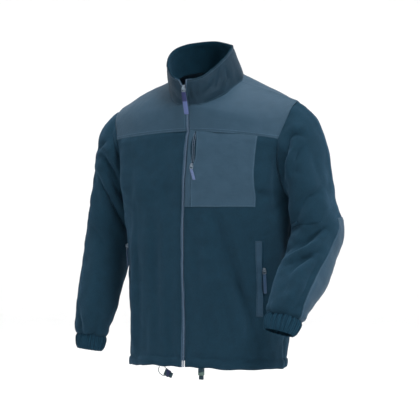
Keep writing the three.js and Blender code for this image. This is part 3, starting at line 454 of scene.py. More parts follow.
def outward(rows, inside, closed):
    """+1 or -1: whether the grid's own normals point out."""
    total = 0
    for i in range(len(rows) - 1):
        for j in range(len(rows[i]) - (0 if closed else 1)):
            k = (j + 1) % len(rows[i])
            face = (rows[i + 1][k] - rows[i][j]).cross(rows[i + 1][j] - rows[i][k])
            total += 1 if face.dot(rows[i + 1][j] - inside(rows[i + 1][j], rows[i + 1])) > 0 else -1
    return 1 if total > 0 else -1


def row_middle(p, row):
    return sum(row, Vector()) / len(row)


def body_inside(p, row):
    return Vector((0, 0, min(p.z, -220)))


def inside_of(name):
    if name.startswith("sleeve"):
        return row_middle
    return (lambda p, row: Vector((0, -40, 0))) if name == "collar" else body_inside


TURN = {name: outward(rows, inside_of(name), name in CLOSED) for name, rows in nets.items()}
GROUPS = [[n for n in nets if n.startswith(("front", "back", "yoke"))], ["sleeve_right"], ["sleeve_left"], ["collar"]]


def weld_normals():
    """The normal of each point of the nets, halfway between the groups where they meet."""
    total = {}
    for group in GROUPS:
        own = {}
        for name in group:
            rows = nets[name]
            for i in range(len(rows) - 1):
                for j in range(len(rows[i]) - (0 if name in CLOSED else 1)):
                    k = (j + 1) % len(rows[i])
                    corners = (rows[i][j], rows[i][k], rows[i + 1][k], rows[i + 1][j])
                    face = (corners[2] - corners[0]).cross(corners[3] - corners[1]) * TURN[name]
                    for p in corners:
                        own[id(p)] = own.get(id(p), Vector()) + face
        for key, normal in own.items():
            total[key] = total.get(key, Vector()) + normal.normalized()
    return {key: normal.normalized() for key, normal in total.items()}


def fold_nets(names, folds):
    normals = weld_normals()
    moves = {}
    for name in names:
        for row in nets[name]:
            for p in row:
                if id(p) in moves:
                    continue
                move = 0
                for start, end, depth, width in folds:
                    a, line = Vector(start), Vector(end) - Vector(start)
                    t = min(1, max(0, (p - a).dot(line) / line.length_squared))
                    off = p - a - line * t
                    along = off.dot(normals[id(p)])
                    if abs(along) < FOLD_REACH:
                        beside = off.length_squared - along * along
                        move += depth * math.exp(-beside / (width * width)) * (0.5 + 0.5 * math.sin(math.pi * t))
                moves[id(p)] = (p, normals[id(p)] * move)
    for p, move in moves.values():
        p += move


fold_nets(GROUPS[0], BODY_FOLDS)
fold_nets(["sleeve_right", "sleeve_left"], SLEEVE_FOLDS)
print("folded:", len(BODY_FOLDS), "body folds,", len(SLEEVE_FOLDS), "sleeve folds")

# %% [markdown]
# ## From nets to shells
# A net has a point every two to five centimetres. Each row and then each column gets a smooth curve through
# its points, which gives a point every few millimetres. A flat grid made by Blender is then laid onto those
# points, so that the cloth keeps clean quads and a UV map in real metres, as a cut panel has.

# %% Finer surfaces
STEP = 4.6  # millimetres between points of a shell


def finer(points, steps, closed):
    """Curves through rows of points, steps to a span: points is rows by columns by 3, the curve runs by columns."""
    if closed:
        points = np.concatenate([points[:, -1:], points, points[:, :2]], axis=1)
    else:
        first, last = 2 * points[:, :1] - points[:, 1:2], 2 * points[:, -1:] - points[:, -2:-1]
        points = np.concatenate([first, points, last], axis=1)
    gap = np.maximum(np.linalg.norm(np.diff(points, axis=1), axis=2, keepdims=True), 1e-6)
    slope = np.diff(points, axis=1) / gap
    before, after = gap[:, :-1], gap[:, 1:]
    tangent = (slope[:, :-1] * after + slope[:, 1:] * before) / (before + after)
    a, b, span = points[:, 1:-2], points[:, 2:-1], gap[:, 1:-1]
    parts = [hermite(a[:, k], tangent[:, k] * span[:, k], b[:, k], tangent[:, k + 1] * span[:, k], s / steps[k])
             for k in range(a.shape[1]) for s in range(steps[k])]
    if not closed:
        parts.append(b[:, -1])
    return np.stack(parts, axis=1)


def even_steps(points, step, closed):
    """How many steps each span gets, the same for all rows."""
    ring = np.concatenate([points, points[:, :1]], axis=1) if closed else points
    spans = np.linalg.norm(np.diff(ring, axis=1), axis=2).mean(axis=0)
    return [max(1, round(float(s) / step)) for s in spans]


def grid_normals(points, closed):
    """The normal at each point of a fine grid, by the grid's own turn."""
    if closed:
        across = np.roll(points, -1, axis=1) - np.roll(points, 1, axis=1)
    else:
        across = np.gradient(points, axis=1)
    up = np.gradient(points, axis=0)
    normal = np.cross(across, up)
    return normal / np.maximum(np.linalg.norm(normal, axis=2, keepdims=True), 1e-9)


class Surface:
    """A fine grid on a net: points, outward normals and how many steps each span of the net has."""

    def __init__(self, rows, closed=False, turn=1, step=STEP):
        coarse = np.array([[tuple(p) for p in row] for row in rows])
        self.closed, self.turn = closed, turn
        self.across = even_steps(coarse, step, closed)
        wide = finer(coarse, self.across, closed)
        flipped = wide.transpose(1, 0, 2)
        self.up = even_steps(flipped, step, False)
        self.points = finer(flipped, self.up, False).transpose(1, 0, 2)
        self.refresh()

    def refresh(self):
        self.normals = grid_normals(self.points, self.closed) * self.turn

    def column(self, c):
        """The fine column of a column of the net, which may lie between two."""
        k = int(c)
        return sum(self.across[:k]) + (round((c - k) * self.across[k]) if c > k else 0)

    def row(self, r):
        k = int(r)
        return sum(self.up[:k]) + (round((r - k) * self.up[k]) if r > k else 0)

    def part(self, rows, columns, lift=0.0):
        """Another surface: whole spans of this one, lifted along the normals."""
        piece = Surface.__new__(Surface)
        r0, r1, c0, c1 = self.row(rows[0]), self.row(rows[1]), self.column(columns[0]), self.column(columns[1])
        piece.closed, piece.turn = False, self.turn
        piece.points = self.points[r0:r1 + 1, c0:c1 + 1] + self.normals[r0:r1 + 1, c0:c1 + 1] * lift
        piece.normals = self.normals[r0:r1 + 1, c0:c1 + 1].copy()
        piece.across = self.across[int(columns[0]):int(columns[1])] or [c1 - c0]
        piece.up = self.up[int(rows[0]):int(rows[1])] or [r1 - r0]
        return piece

    def move(self, by):
        """Moves the points along the normals, by a number or a grid of numbers."""
        self.points = self.points + self.normals * (np.asarray(by)[..., None] if np.ndim(by) else by)
        self.refresh()

    def lengths(self):
        """Distances along the cloth in metres, across and up, as a paper pattern would give them."""
        ring = np.concatenate([self.points, self.points[:, :1]], axis=1) if self.closed else self.points
        u = np.linalg.norm(np.diff(ring, axis=1), axis=2).mean(axis=0)
        v = np.linalg.norm(np.diff(self.points, axis=0), axis=2).mean(axis=1)
        return np.concatenate([[0], np.cumsum(u)]) * MM, np.concatenate([[0], np.cumsum(v)]) * MM


surfaces = {name: Surface(rows, name in CLOSED, TURN[name]) for name, rows in nets.items()}
print("fine grids:", {name: s.points.shape[:2] for name, s in surfaces.items()})

# %% Laying a grid onto a surface
def new_object(name, bm, materials=()):
    mesh = bpy.data.meshes.new(name)
    bm.to_mesh(mesh)
    bm.free()
    obj = bpy.data.objects.new(name, mesh)
    bpy.context.scene.collection.objects.link(obj)
    for material in materials:
        mesh.materials.append(material)
    return obj


def lay_grid(name, laid_on, material, thickness, thick_rows=None, rim=0.35):
    """A shell on one or more surfaces: flat grids laid onto their points, with the thickness outwards."""
    bm = bmesh.new()
    layer = bm.loops.layers.uv.new("UVMap")
    group = bm.verts.layers.deform.verify()
    for surface in laid_on if isinstance(laid_on, list) else [laid_on]:
        points = surface.points
        if surface.closed:
            points = np.concatenate([points, points[:, :1]], axis=1)
        rows, columns = points.shape[:2]
        u, v = surface.lengths()
        made = bmesh.ops.create_grid(bm, x_segments=columns - 1, y_segments=rows - 1, size=1)["verts"]
        for vertex in made:
            j = round((vertex.co.x * 0.5 + 0.5) * (columns - 1))
            i = round((vertex.co.y * 0.5 + 0.5) * (rows - 1))
            for loop in vertex.link_loops:
                loop[layer].uv = (u[j], v[i])
            vertex.co = points[i, j] * MM
            if thick_rows is not None:
                vertex[group][0] = float(thick_rows[i])
        if surface.turn < 0:
            bmesh.ops.reverse_faces(bm, faces=list({face for vertex in made for face in vertex.link_faces}))
    bmesh.ops.remove_doubles(bm, verts=bm.verts, dist=1e-6)
    for face in bm.faces:
        face.smooth = True
    obj = new_object(name, bm, [material])
    wall = obj.modifiers.new("wall", "SOLIDIFY")
    wall.thickness, wall.offset, wall.use_even_offset = thickness * MM, 1, False
    wall.use_quality_normals = True
    if thick_rows is not None:
        obj.vertex_groups.new(name="thick")
        wall.vertex_group = "thick"
    if rim:
        edge = obj.modifiers.new("soft edge", "BEVEL")
        edge.width, edge.segments, edge.limit_method = rim * MM, 2, "ANGLE"
        edge.angle_limit = math.radians(50)
    return obj

# %% [markdown]
# ## Materials
# Fleece, woven overlay, rib, tape and moulded plastic differ in how they scatter light. Each gets a small set of
# nodes: a colour that varies a little, a fine bump in the real scale of its threads or pile, and sheen for the
# fuzz that catches light at the edges. Patterns are in metres, from object coordinates or the panels' UV maps.

# %% Node helpers
def linear(hex_colour):
    """sRGB hex to the linear colour that Blender's sockets take."""
    parts = [int(hex_colour[k:k + 2], 16) / 255 for k in (1, 3, 5)]
    return tuple(c / 12.92 if c <= 0.04045 else ((c + 0.055) / 1.055) ** 2.4 for c in parts) + (1.0,)


def add(tree, kind, inputs=None, **settings):
    """Adds a node, with settings, socket values and links in one call."""
    node = tree.nodes.new(kind)
    for key, value in settings.items():
        setattr(node, key, value)
    for key, value in (inputs or {}).items():
        if isinstance(value, bpy.types.NodeSocket):
            tree.links.new(value, node.inputs[key])
        else:
            node.inputs[key].default_value = value
    return node


def start_material(name):
    material = bpy.data.materials.new(name)
    material.use_nodes = True
    tree = material.node_tree
    shader = tree.nodes["Principled BSDF"]
    return material, tree, shader


def place(tree, source="Object", scale=(1, 1, 1)):
    """Pattern coordinates in metres times a scale."""
    where = add(tree, "ShaderNodeTexCoord")
    return add(tree, "ShaderNodeMapping", {"Vector": where.outputs[source], "Scale": scale}).outputs["Vector"]


def shades(tree, factor, dark, light, low=0.25, high=0.75):
    ramp = add(tree, "ShaderNodeValToRGB", {"Fac": factor})
    ramp.color_ramp.elements[0].position, ramp.color_ramp.elements[0].color = low, linear(dark)
    ramp.color_ramp.elements[1].position, ramp.color_ramp.elements[1].color = high, linear(light)
    return ramp.outputs["Color"]


# %% Fleece
def fleece_material(name, dark, light, sheen=0.2):
    """Knitted fleece: short pile in soft clumps, flecked, matte, with a dusty edge light."""
    material, tree, shader = start_material(name)
    at = place(tree)
    clumps = add(tree, "ShaderNodeTexNoise", {"Vector": at, "Scale": 420, "Detail": 3, "Roughness": 0.6})
    patches = add(tree, "ShaderNodeTexNoise", {"Vector": at, "Scale": 55, "Detail": 4, "Roughness": 0.55})
    both = add(tree, "ShaderNodeMix", {"Factor": 0.4, "A": clumps.outputs["Fac"], "B": patches.outputs["Fac"]})
    tree.links.new(shades(tree, both.outputs["Result"], dark, light, 0.3, 0.7), shader.inputs["Base Color"])
    pile = add(tree, "ShaderNodeTexNoise", {"Vector": at, "Scale": 1100, "Detail": 2, "Roughness": 0.7})
    knots = add(tree, "ShaderNodeTexVoronoi", {"Vector": at, "Scale": 520, "Randomness": 1.0})
    height = add(tree, "ShaderNodeMix", {"Factor": 0.5, "A": pile.outputs["Fac"], "B": knots.outputs["Distance"]})
    clump_bump = add(tree, "ShaderNodeBump", {
        "Strength": 0.5, "Distance": 0.0012, "Height": clumps.outputs["Fac"]})
    bump = add(tree, "ShaderNodeBump", {
        "Strength": 0.6, "Distance": 0.0007, "Height": height.outputs["Result"], "Normal": clump_bump.outputs["Normal"]})
    tree.links.new(bump.outputs["Normal"], shader.inputs["Normal"])
    shader.inputs["Roughness"].default_value = 0.95
    shader.inputs["Specular IOR Level"].default_value = 0.05
    shader.inputs["Sheen Weight"].default_value = sheen
    shader.inputs["Sheen Roughness"].default_value = 0.55
    shader.inputs["Sheen Tint"].default_value = linear("#6f9cc0")
    return material


# %% Woven overlay
def woven_material(name, dark, light, pitch=0.0009, roughness=0.6):
    """Plain woven nylon: two crossed ribs of thread, one over the other, with a faint silky sheen."""
    material, tree, shader = start_material(name)
    cloth = place(tree, "UV")
    around = add(tree, "ShaderNodeTexWave", {
        "Vector": cloth, "Scale": 1 / pitch / 6.283, "Distortion": 0.6, "Detail": 1}, bands_direction="X")
    along = add(tree, "ShaderNodeTexWave", {
        "Vector": cloth, "Scale": 1 / pitch / 6.283, "Distortion": 0.6, "Detail": 1}, bands_direction="Y")
    weave = add(tree, "ShaderNodeMath", {0: around.outputs["Fac"], 1: along.outputs["Fac"]}, operation="MAXIMUM")
    cloud = add(tree, "ShaderNodeTexNoise", {"Vector": place(tree), "Scale": 38, "Detail": 5, "Roughness": 0.6})
    slub = add(tree, "ShaderNodeTexNoise", {
        "Vector": place(tree, "UV", (40, 700, 1)), "Scale": 1, "Detail": 3, "Roughness": 0.6})
    tone = add(tree, "ShaderNodeMix", {"Factor": 0.45, "A": cloud.outputs["Fac"], "B": slub.outputs["Fac"]})
    tree.links.new(shades(tree, tone.outputs["Result"], dark, light, 0.3, 0.7), shader.inputs["Base Color"])
    crumple = add(tree, "ShaderNodeBump", {"Strength": 0.35, "Distance": 0.004, "Height": cloud.outputs["Fac"]})
    bump = add(tree, "ShaderNodeBump", {
        "Strength": 0.5, "Distance": 0.0003, "Height": weave.outputs["Value"], "Normal": crumple.outputs["Normal"]})
    tree.links.new(bump.outputs["Normal"], shader.inputs["Normal"])
    shader.inputs["Roughness"].default_value = roughness
    shader.inputs["Specular IOR Level"].default_value = 0.12
    shader.inputs["Sheen Weight"].default_value = 0.07
    shader.inputs["Sheen Tint"].default_value = linear("#8fb4d6")
    return material


# %% Rib, tape, cord, thread
def ribbed_material(name, dark, light, pitch, source="UV", roughness=0.85, strength=0.6):
    """Threads side by side: a knitted binding, a zip tape or a braided cord."""
    material, tree, shader = start_material(name)
    ribs = add(tree, "ShaderNodeTexWave", {
        "Vector": place(tree, source), "Scale": 1 / pitch / 6.283, "Distortion": 1.2, "Detail": 2,
        "Detail Scale": 1.5}, bands_direction="X")
    fuzz = add(tree, "ShaderNodeTexNoise", {"Vector": place(tree), "Scale": 700, "Detail": 3})
    tone = add(tree, "ShaderNodeMix", {"Factor": 0.5, "A": ribs.outputs["Fac"], "B": fuzz.outputs["Fac"]})
    tree.links.new(shades(tree, tone.outputs["Result"], dark, light, 0.25, 0.75), shader.inputs["Base Color"])
    bump = add(tree, "ShaderNodeBump", {"Strength": strength, "Distance": 0.0006, "Height": tone.outputs["Result"]})
    tree.links.new(bump.outputs["Normal"], shader.inputs["Normal"])
    shader.inputs["Roughness"].default_value = roughness
    shader.inputs["Specular IOR Level"].default_value = 0.06
    shader.inputs["Sheen Weight"].default_value = 0.05
    shader.inputs["Sheen Tint"].default_value = linear("#5f8fb5")
    return material


# %% Moulded and cast parts
def hard_material(name, dark, light, roughness, metallic=0.0, grain=900):
    """Plastic or metal with a slightly uneven skin, so that highlights break up as on a small moulding."""
    material, tree, shader = start_material(name)
    skin = add(tree, "ShaderNodeTexNoise", {"Vector": place(tree), "Scale": grain, "Detail": 3, "Roughness": 0.6})
    tree.links.new(shades(tree, skin.outputs["Fac"], dark, light, 0.35, 0.65), shader.inputs["Base Color"])
    bump = add(tree, "ShaderNodeBump", {"Strength": 0.2, "Distance": 0.0002, "Height": skin.outputs["Fac"]})
    tree.links.new(bump.outputs["Normal"], shader.inputs["Normal"])
    shader.inputs["Roughness"].default_value = roughness
    shader.inputs["Metallic"].default_value = metallic
    shader.inputs["Specular IOR Level"].default_value = 0.5 if metallic else 0.22
    return material


MATERIALS = dict(
    fleece=fleece_material("knitted fleece, short pile", "#0f222d", "#152d3b"),
    lining=fleece_material("collar fleece", "#08202c", "#0e2b3a", sheen=0.1),
    woven=woven_material("plain woven nylon", "#223847", "#293f4f"),
    # The welts' colour is the yokes' woven nylon painted darker: painted shade for their place at the sides of the
    # body, not another cloth.
    welt=woven_material("plain woven nylon, painted shade for welts", "#1b3040", "#223a4b"),
    collar=woven_material("plain woven nylon, collar", "#0d212d", "#132937"),
    cuff=ribbed_material("knitted binding", "#0d2230", "#143140", 0.0016),
    tape=ribbed_material("woven zip tape", "#33495b", "#435b70", 0.0007, roughness=0.7),
    hidden_tape=ribbed_material("fleece-coloured zip tape", "#0f2532", "#163243", 0.0007, roughness=0.9),
    pocket_tape=ribbed_material("dark zip tape", "#0c1820", "#16242e", 0.0007, roughness=0.7),
    chain=hard_material("moulded zip teeth", "#3b5064", "#50647a", 0.45),
    coil=hard_material("small zip teeth", "#42566a", "#62778b", 0.45),
    metal=hard_material("die-cast slider", "#56636f", "#8a98a5", 0.35, 0.9),
    grip_blue=hard_material("moulded grip, blue", "#181d40", "#20284f", 0.5),
    grip_light=hard_material("moulded grip, light blue", "#3a466c", "#4c5a82", 0.5),
    grip_dark=hard_material("moulded grip, dark", "#22354a", "#33475f", 0.4),
    grip_pale=hard_material("moulded grip, pale", "#42506e", "#58678a", 0.5),
    lock=hard_material("moulded cord lock", "#0c1c24", "#15303b", 0.4),
    lock_navy=hard_material("moulded cord lock, navy", "#0f1530", "#1a2244", 0.4),
    lock_grey=hard_material("moulded cord lock, grey green", "#3c4f4c", "#53665f", 0.45),
    cord=ribbed_material("braided elastic cord", "#1f2a30", "#39464d", 0.0009, "Object", 0.8),
    thread=ribbed_material("sewing thread", "#3a5163", "#4c6578", 0.0004, "Object", 0.7, 0.3),
    dark_thread=ribbed_material("dark sewing thread", "#0d1c26", "#182d3a", 0.0004, "Object", 0.7, 0.3),
)
print("materials:", len(MATERIALS))

# %% [markdown]
# ## Panels
# Each panel is a shell with its own wall. The hem is thicker, because it is turned up over a cord channel.

# %% Fine folds
def crease(surface, folds, reach=30):
    """Presses troughs (depth below 0) and ridges into a fine surface, each along a line, fading at both ends."""
    points, normals = surface.points, surface.normals
    move = np.zeros(points.shape[:2])
    for start, end, depth, width in folds:
        a, line = np.array(start, float), np.array(end, float) - np.array(start, float)
        off = points - a
        t = np.clip(off @ line / (line @ line), 0, 1)
        off = off - t[..., None] * line
        along = (off * normals).sum(axis=2)
        beside = (off * off).sum(axis=2) - along * along
        shape = np.exp(-beside / width ** 2) * (0.35 + 0.65 * np.sin(np.pi * t))
        move += np.where(np.abs(along) < reach, depth * shape, 0)
    surface.move(move)


def unevenness(surface, size, depth, seed):
    """Soft hollows and swellings of cloth that is not pressed flat, size millimetres across."""
    points = surface.points
    shift = Vector((seed * 7.3, seed * 3.1, seed * 5.7))
    rough = np.array([[noise.noise(Vector(p) / size + shift) for p in row] for row in points])
    surface.move(rough * depth)


# %% [markdown]
# The edges of two panels share a seam. Each panel is drawn in by a hair there and dips a little, because the
# seam pulls the cloth down, so that the join reads as a soft groove and not as a drawn line.

# %% Seams
def edge_distance(surface, edges):
    """Millimetres from the named edges of a surface: bottom, top, first and last column."""
    u, v = surface.lengths()
    u, v = u[:surface.points.shape[1]] / MM, v / MM
    far = np.full(surface.points.shape[:2], 1e6)
    if "bottom" in edges:
        far = np.minimum(far, v[:, None])
    if "top" in edges:
        far = np.minimum(far, (v[-1] - v)[:, None])
    if "first" in edges:
        far = np.minimum(far, u[None, :])
    if "last" in edges:
        far = np.minimum(far, (u[-1] - u)[None, :])
    return far


def draw_in(surface, gap=0.15):
    """Moves the outermost points a hair towards their neighbours, so that two panels don't share an edge."""
    points = surface.points
    pairs = [(points[0], points[1]), (points[-1], points[-2])]
    if not surface.closed:
        pairs += [(points[:, 0], points[:, 1]), (points[:, -1], points[:, -2])]
    for edge, inner in pairs:
        way = inner - edge
        edge += way * (gap / np.maximum(np.linalg.norm(way, axis=-1, keepdims=True), 1e-6))


def seam_dip(surface, edges, depth=1.2, reach=5.0, puff=0.8):
    """The cloth dips at a seam and stands a little fuller beside it."""
    far = edge_distance(surface, edges)
    surface.move(-depth * np.exp(-(far / reach) ** 2) + puff * np.exp(-((far - 2.4 * reach) / reach) ** 2))


# %% Folds of each panel
crease(surfaces["front_left"], [
    ((222, -30, -300), (196, -70, -336), -4.5, 9), ((215, -55, -285), (160, -105, -330), 3, 9),
    ((80, -130, -330), (104, -128, -450), -3.5, 12), ((128, -120, -480), (166, -100, -600), -3.5, 13),
    ((104, -125, -470), (132, -118, -600), 3, 14), ((60, -135, -520), (90, -128, -690), -2.5, 14),
    ((36, -138, -420), (48, -136, -640), 2.5, 16), ((176, -95, -420), (190, -80, -520), -3, 11),
    ((150, -108, -560), (160, -104, -690), 3, 13), ((20, -136, -330), (60, -134, -372), -2, 10),
])
crease(surfaces["front_right"], [
    ((-222, -30, -300), (-190, -76, -340), -4.5, 9), ((-206, -62, -280), (-150, -108, -322), 3, 9),
    ((-80, -130, -360), (-92, -128, -560), -2.5, 14), ((-40, -136, -300), (-52, -134, -420), 2, 14),
    ((-142, -110, -300), (-150, -106, -460), 3, 12), ((-128, -112, -420), (-134, -110, -640), -3.5, 10),
    ((-196, -60, -420), (-200, -52, -640), -3.5, 11), ((-90, -126, -560), (-98, -124, -695), 2.5, 13),
    ((-20, -136, -560), (-34, -134, -690), -2, 12),
])
crease(surfaces["back"], [
    ((-196, 60, -300), (-130, 100, -350), -4, 11), ((196, 60, -300), (130, 100, -352), -4, 11),
    ((-40, 118, -380), (-58, 114, -640), -3, 14), ((36, 118, -330), (28, 114, -600), 2.5, 14),
    ((-110, 104, -420), (-122, 98, -690), 3, 13), ((110, 104, -380), (104, 100, -640), -3, 13),
    ((0, 116, -470), (-8, 112, -700), -2.5, 12), ((176, 70, -420), (182, 60, -660), 3, 12),
    ((-180, 68, -400), (-186, 58, -640), -3, 12), ((-80, 112, -200), (-30, 118, -260), 2, 14),
])
crease(surfaces["sleeve_left"], [
    ((296, -44, -212), (246, -60, -262), -3.5, 8), ((312, -50, -330), (268, -76, -376), -4, 7),
    ((330, -30, -360), (300, -84, -420), -3.5, 7), ((318, -74, -432), (276, -110, -470), -4, 6.5),
    ((300, -110, -468), (262, -134, -505), -3, 7), ((306, -128, -498), (262, -160, -548), -3.5, 6.5),
    ((330, -20, -300), (310, -46, -352), 2.5, 8), ((318, 10, -240), (322, -20, -300), -2.5, 10),
    ((300, -150, -530), (282, -176, -566), -2.5, 6), ((258, -150, -540), (256, -170, -566), -3, 6),
    ((312, 50, -380), (278, 60, -440), -4, 9), ((300, 20, -470), (262, 4, -500), -3, 9),
])
crease(surfaces["sleeve_right"], [
    ((-266, -62, -214), (-244, -66, -262), -3.5, 8), ((-300, -48, -222), (-282, -66, -268), -3, 9),
    ((-312, -40, -300), (-286, -72, -352), -3.5, 8), ((-300, -66, -360), (-262, -74, -420), -3.5, 8),
    ((-330, -30, -400), (-300, -74, -450), 3, 9), ((-322, -56, -470), (-276, -84, -520), -3, 8),
    ((-316, -70, -520), (-276, -92, -566), 2.5, 8), ((-324, -80, -560), (-292, -104, -610), -3, 7),
    ((-300, 60, -430), (-330, 44, -480), -3.5, 9), ((-280, 64, -300), (-250, 56, -350), -3, 9),
    ((-346, -60, -600), (-330, -96, -636), 2.5, 7),
])
crease(surfaces["collar"], [
    ((-60, -120, -60), (-40, -128, 8), -1.8, 7), ((-30, -136, -70), (-20, -136, -10), 1.4, 7),
    ((30, -136, -80), (44, -128, -4), -1.8, 7), ((70, -90, -50), (66, -96, 20), -1.6, 7),
    ((90, -60, -30), (76, -64, 40), 1.5, 8), ((-88, -60, -30), (-74, -70, 30), -1.6, 8),
    ((0, 60, 0), (10, 34, 70), 1.4, 9), ((-40, 50, 0), (-30, 30, 60), -1.4, 8),
])

# %% [markdown]
# The creases that a person sees first are set where they are seen. Each is a bent line in the plane that faces
# the viewer, in millimetres across and up, and presses only on cloth that faces that way. A trough with a ridge
# close beside it makes a fold that lies over the cloth below it.

# %% Creases as they are seen
VIEW_TURN = math.radians(28)
camera_right = Vector((math.cos(VIEW_TURN), math.sin(VIEW_TURN), 0))
camera_back = Vector((math.sin(VIEW_TURN), -math.cos(VIEW_TURN), 0))
SEEN = {
    "sleeve_left": [
        ([(220.4, -148.3), (199.2, -145.9), (189.8, -155.3), (187.4, -174.2), (178, -197.7),
          (174.5, -221.3), (175.6, -249.6)], -8.5, 4.6),
        ([(227.5, -129.4), (201.6, -129.4), (182.7, -143.5)], 3, 5.5),
        ([(225.1, -174.2), (211, -188.3), (201.6, -211.9), (199.2, -237.8)], -5, 5.5),
        ([(206.3, -162.4), (192.1, -188.3), (187.4, -216.6), (187.4, -247.2)], 3, 5),
        ([(267.5, -268.4), (251.1, -284.9), (227.5, -299.1), (213.3, -322.6), (203.9, -350.9)], -6.5, 7.5),
        ([(281.7, -287.3), (253.4, -310.9), (232.2, -334.4), (218.1, -362.7)], 3.2, 9),
        ([(267.5, -369.8), (246.3, -388.6), (220.4, -402.8), (196.8, -414.6), (178, -428.7)], -7.5, 5.5),
        ([(272.3, -383.9), (251.1, -402.8), (222.8, -418.1), (194.5, -433.4), (175.6, -447.5)], 4.6, 5.5),
        ([(213.3, -358), (196.8, -381.6), (189.8, -405.1)], -3, 8),
        ([(258.1, -419.3), (232.2, -433.4), (206.3, -452.3), (187.4, -473.5)], -4.8, 5.5),
        ([(253.4, -438.1), (225.1, -457), (199.2, -478.2), (180.4, -499.4)], 3.6, 6.5),
        ([(248.7, -447.5), (234.6, -475.8), (218.1, -508.8), (201.6, -537.1), (185.1, -555.9)], -4.2, 6.5),
        ([(215.7, -471.1), (199.2, -504.1), (175.6, -537.1)], 3, 8),
        ([(213.3, -539.5), (194.5, -551.2), (170.9, -558.3)], -3, 4.5),
        ([(241.6, -183.6), (251.1, -230.7), (265.2, -268.4)], -2.2, 9),
    ],
    "sleeve_right": [
        ([(-242.5, -104.3), (-249, -130), (-240, -165.9), (-227.1, -196.7), (-219.4, -232.6)], -7.4, 5.5),
        ([(-273.3, -173.6), (-260.5, -201.8), (-245.1, -227.5), (-229.7, -258.3)], -6.6, 5.5),
        ([(-255.4, -171), (-242.5, -196.7), (-231, -224.9)], 4.4, 5),
        ([(-293.9, -224.9), (-275.9, -258.3), (-257.9, -289.1), (-240, -319.9), (-224.6, -350.7),
          (-211.7, -378.9), (-204, -402)], -8.4, 6.5),
        ([(-278.5, -217.2), (-260.5, -250.6), (-240, -289.1), (-222, -327.6), (-209.2, -360.9)], 4.8, 6.5),
        ([(-257.9, -147.9), (-273.3, -160.8), (-288.7, -171)], -5.2, 5),
        ([(-263.1, -168.5), (-281, -186.4)], 3.4, 5),
        ([(-334.9, -571.4), (-329.8, -607.3), (-319.5, -640.6)], -4.4, 5.5),
        ([(-314.4, -648.3), (-293.9, -635.5), (-281, -612.4)], -3.4, 6),
        ([(-281, -337.8), (-288.7, -453.3), (-293.9, -581.6)], 2.6, 16),
        ([(-240, -427.6), (-250.2, -530.3), (-265.6, -620.1)], -2.4, 12),
        ([(-291.3, -248), (-283.6, -299.3), (-281, -345.5)], -2.4, 7),
    ],
    "front_right": [
        ([(-187.9, -246.4), (-180.5, -398.7), (-178, -546), (-175.6, -708.1)], -4.4, 9),
        ([(-158.4, -275.9), (-153.5, -447.8), (-151, -619.7), (-153.5, -713)], 3.4, 10),
        ([(-131.4, -349.6), (-128.9, -521.5), (-121.5, -673.7)], -3, 10),
        ([(-97, -177.6), (-101.9, -300.4), (-92.1, -423.2)], -1.8, 12),
        ([(-92.1, -472.4), (-94.5, -595.1), (-87.2, -703.2)], -2.4, 9),
    ],
    "front_left": [
        ([(22.8, -344.1), (34.7, -408.6), (51.4, -468.4), (82.5, -549.6), (118.3, -645.2)], -4.4, 10),
        ([(56.2, -353.7), (80.1, -449.3), (111.2, -540.1)], 3.4, 12),
        ([(104, -583.1), (89.7, -623.7), (84.9, -664.3)], -3.4, 9),
        ([(159, -181.6), (154.2, -253.3), (159, -329.8)], -3.4, 8),
        ([(-22.6, -377.6), (-5.9, -516.2), (8.4, -659.6)], 2.8, 14),
        ([(-34.6, -339.3), (-27.4, -449.3), (-20.3, -549.6)], -2.4, 9),
        ([(29.9, -516.2), (46.7, -611.8), (63.4, -688.2)], -2.6, 9),
    ],
    "collar": [
        ([(25.2, 16.8), (24.2, -5.2), (15.9, -29.6)], -2.8, 3.4),
        ([(32, 14.3), (32, -7.6), (24.7, -34.5)], 2, 3.4),
        ([(37.9, 19.2), (44.7, -5.2), (37.9, -29.6)], -2.6, 3.4),
        ([(13.5, -2.8), (4.9, -24.7), (-13.4, -41.8)], -2.4, 3.8),
        ([(-1.2, -7.6), (-11, -29.6), (-28, -41.8)], 1.9, 4.2),
        ([(-28, -19.9), (-32.9, -41.8), (-23.2, -61.4)], -2.4, 3.6),
        ([(-15.8, -71.1), (6.1, -58.9), (28.1, -46.7)], -2.2, 3.4),
        ([(-48.8, -17.4), (-47.6, -41.8), (-37.8, -68.7)], -2.2, 3.4),
        ([(52.5, 41.2), (62.3, 16.8), (65.9, -12.5)], -1.7, 4.5),
        ([(-11, 50.9), (3.7, 26.5), (11, 2.1)], -1.4, 4.5),
        ([(-96.4, -22.3), (-81.8, -46.7), (-62.2, -66.2)], -2.6, 4),
        ([(-89.1, -15), (-72, -34.5), (-59.8, -49.1)], 1.8, 4),
        ([(-8.5, -51.6), (8.6, -39.4), (25.7, -32.1)], 1.8, 3.6),
        ([(74.5, 26.5), (75.7, 7), (69.6, -17.4)], 1.6, 4),
    ],
}


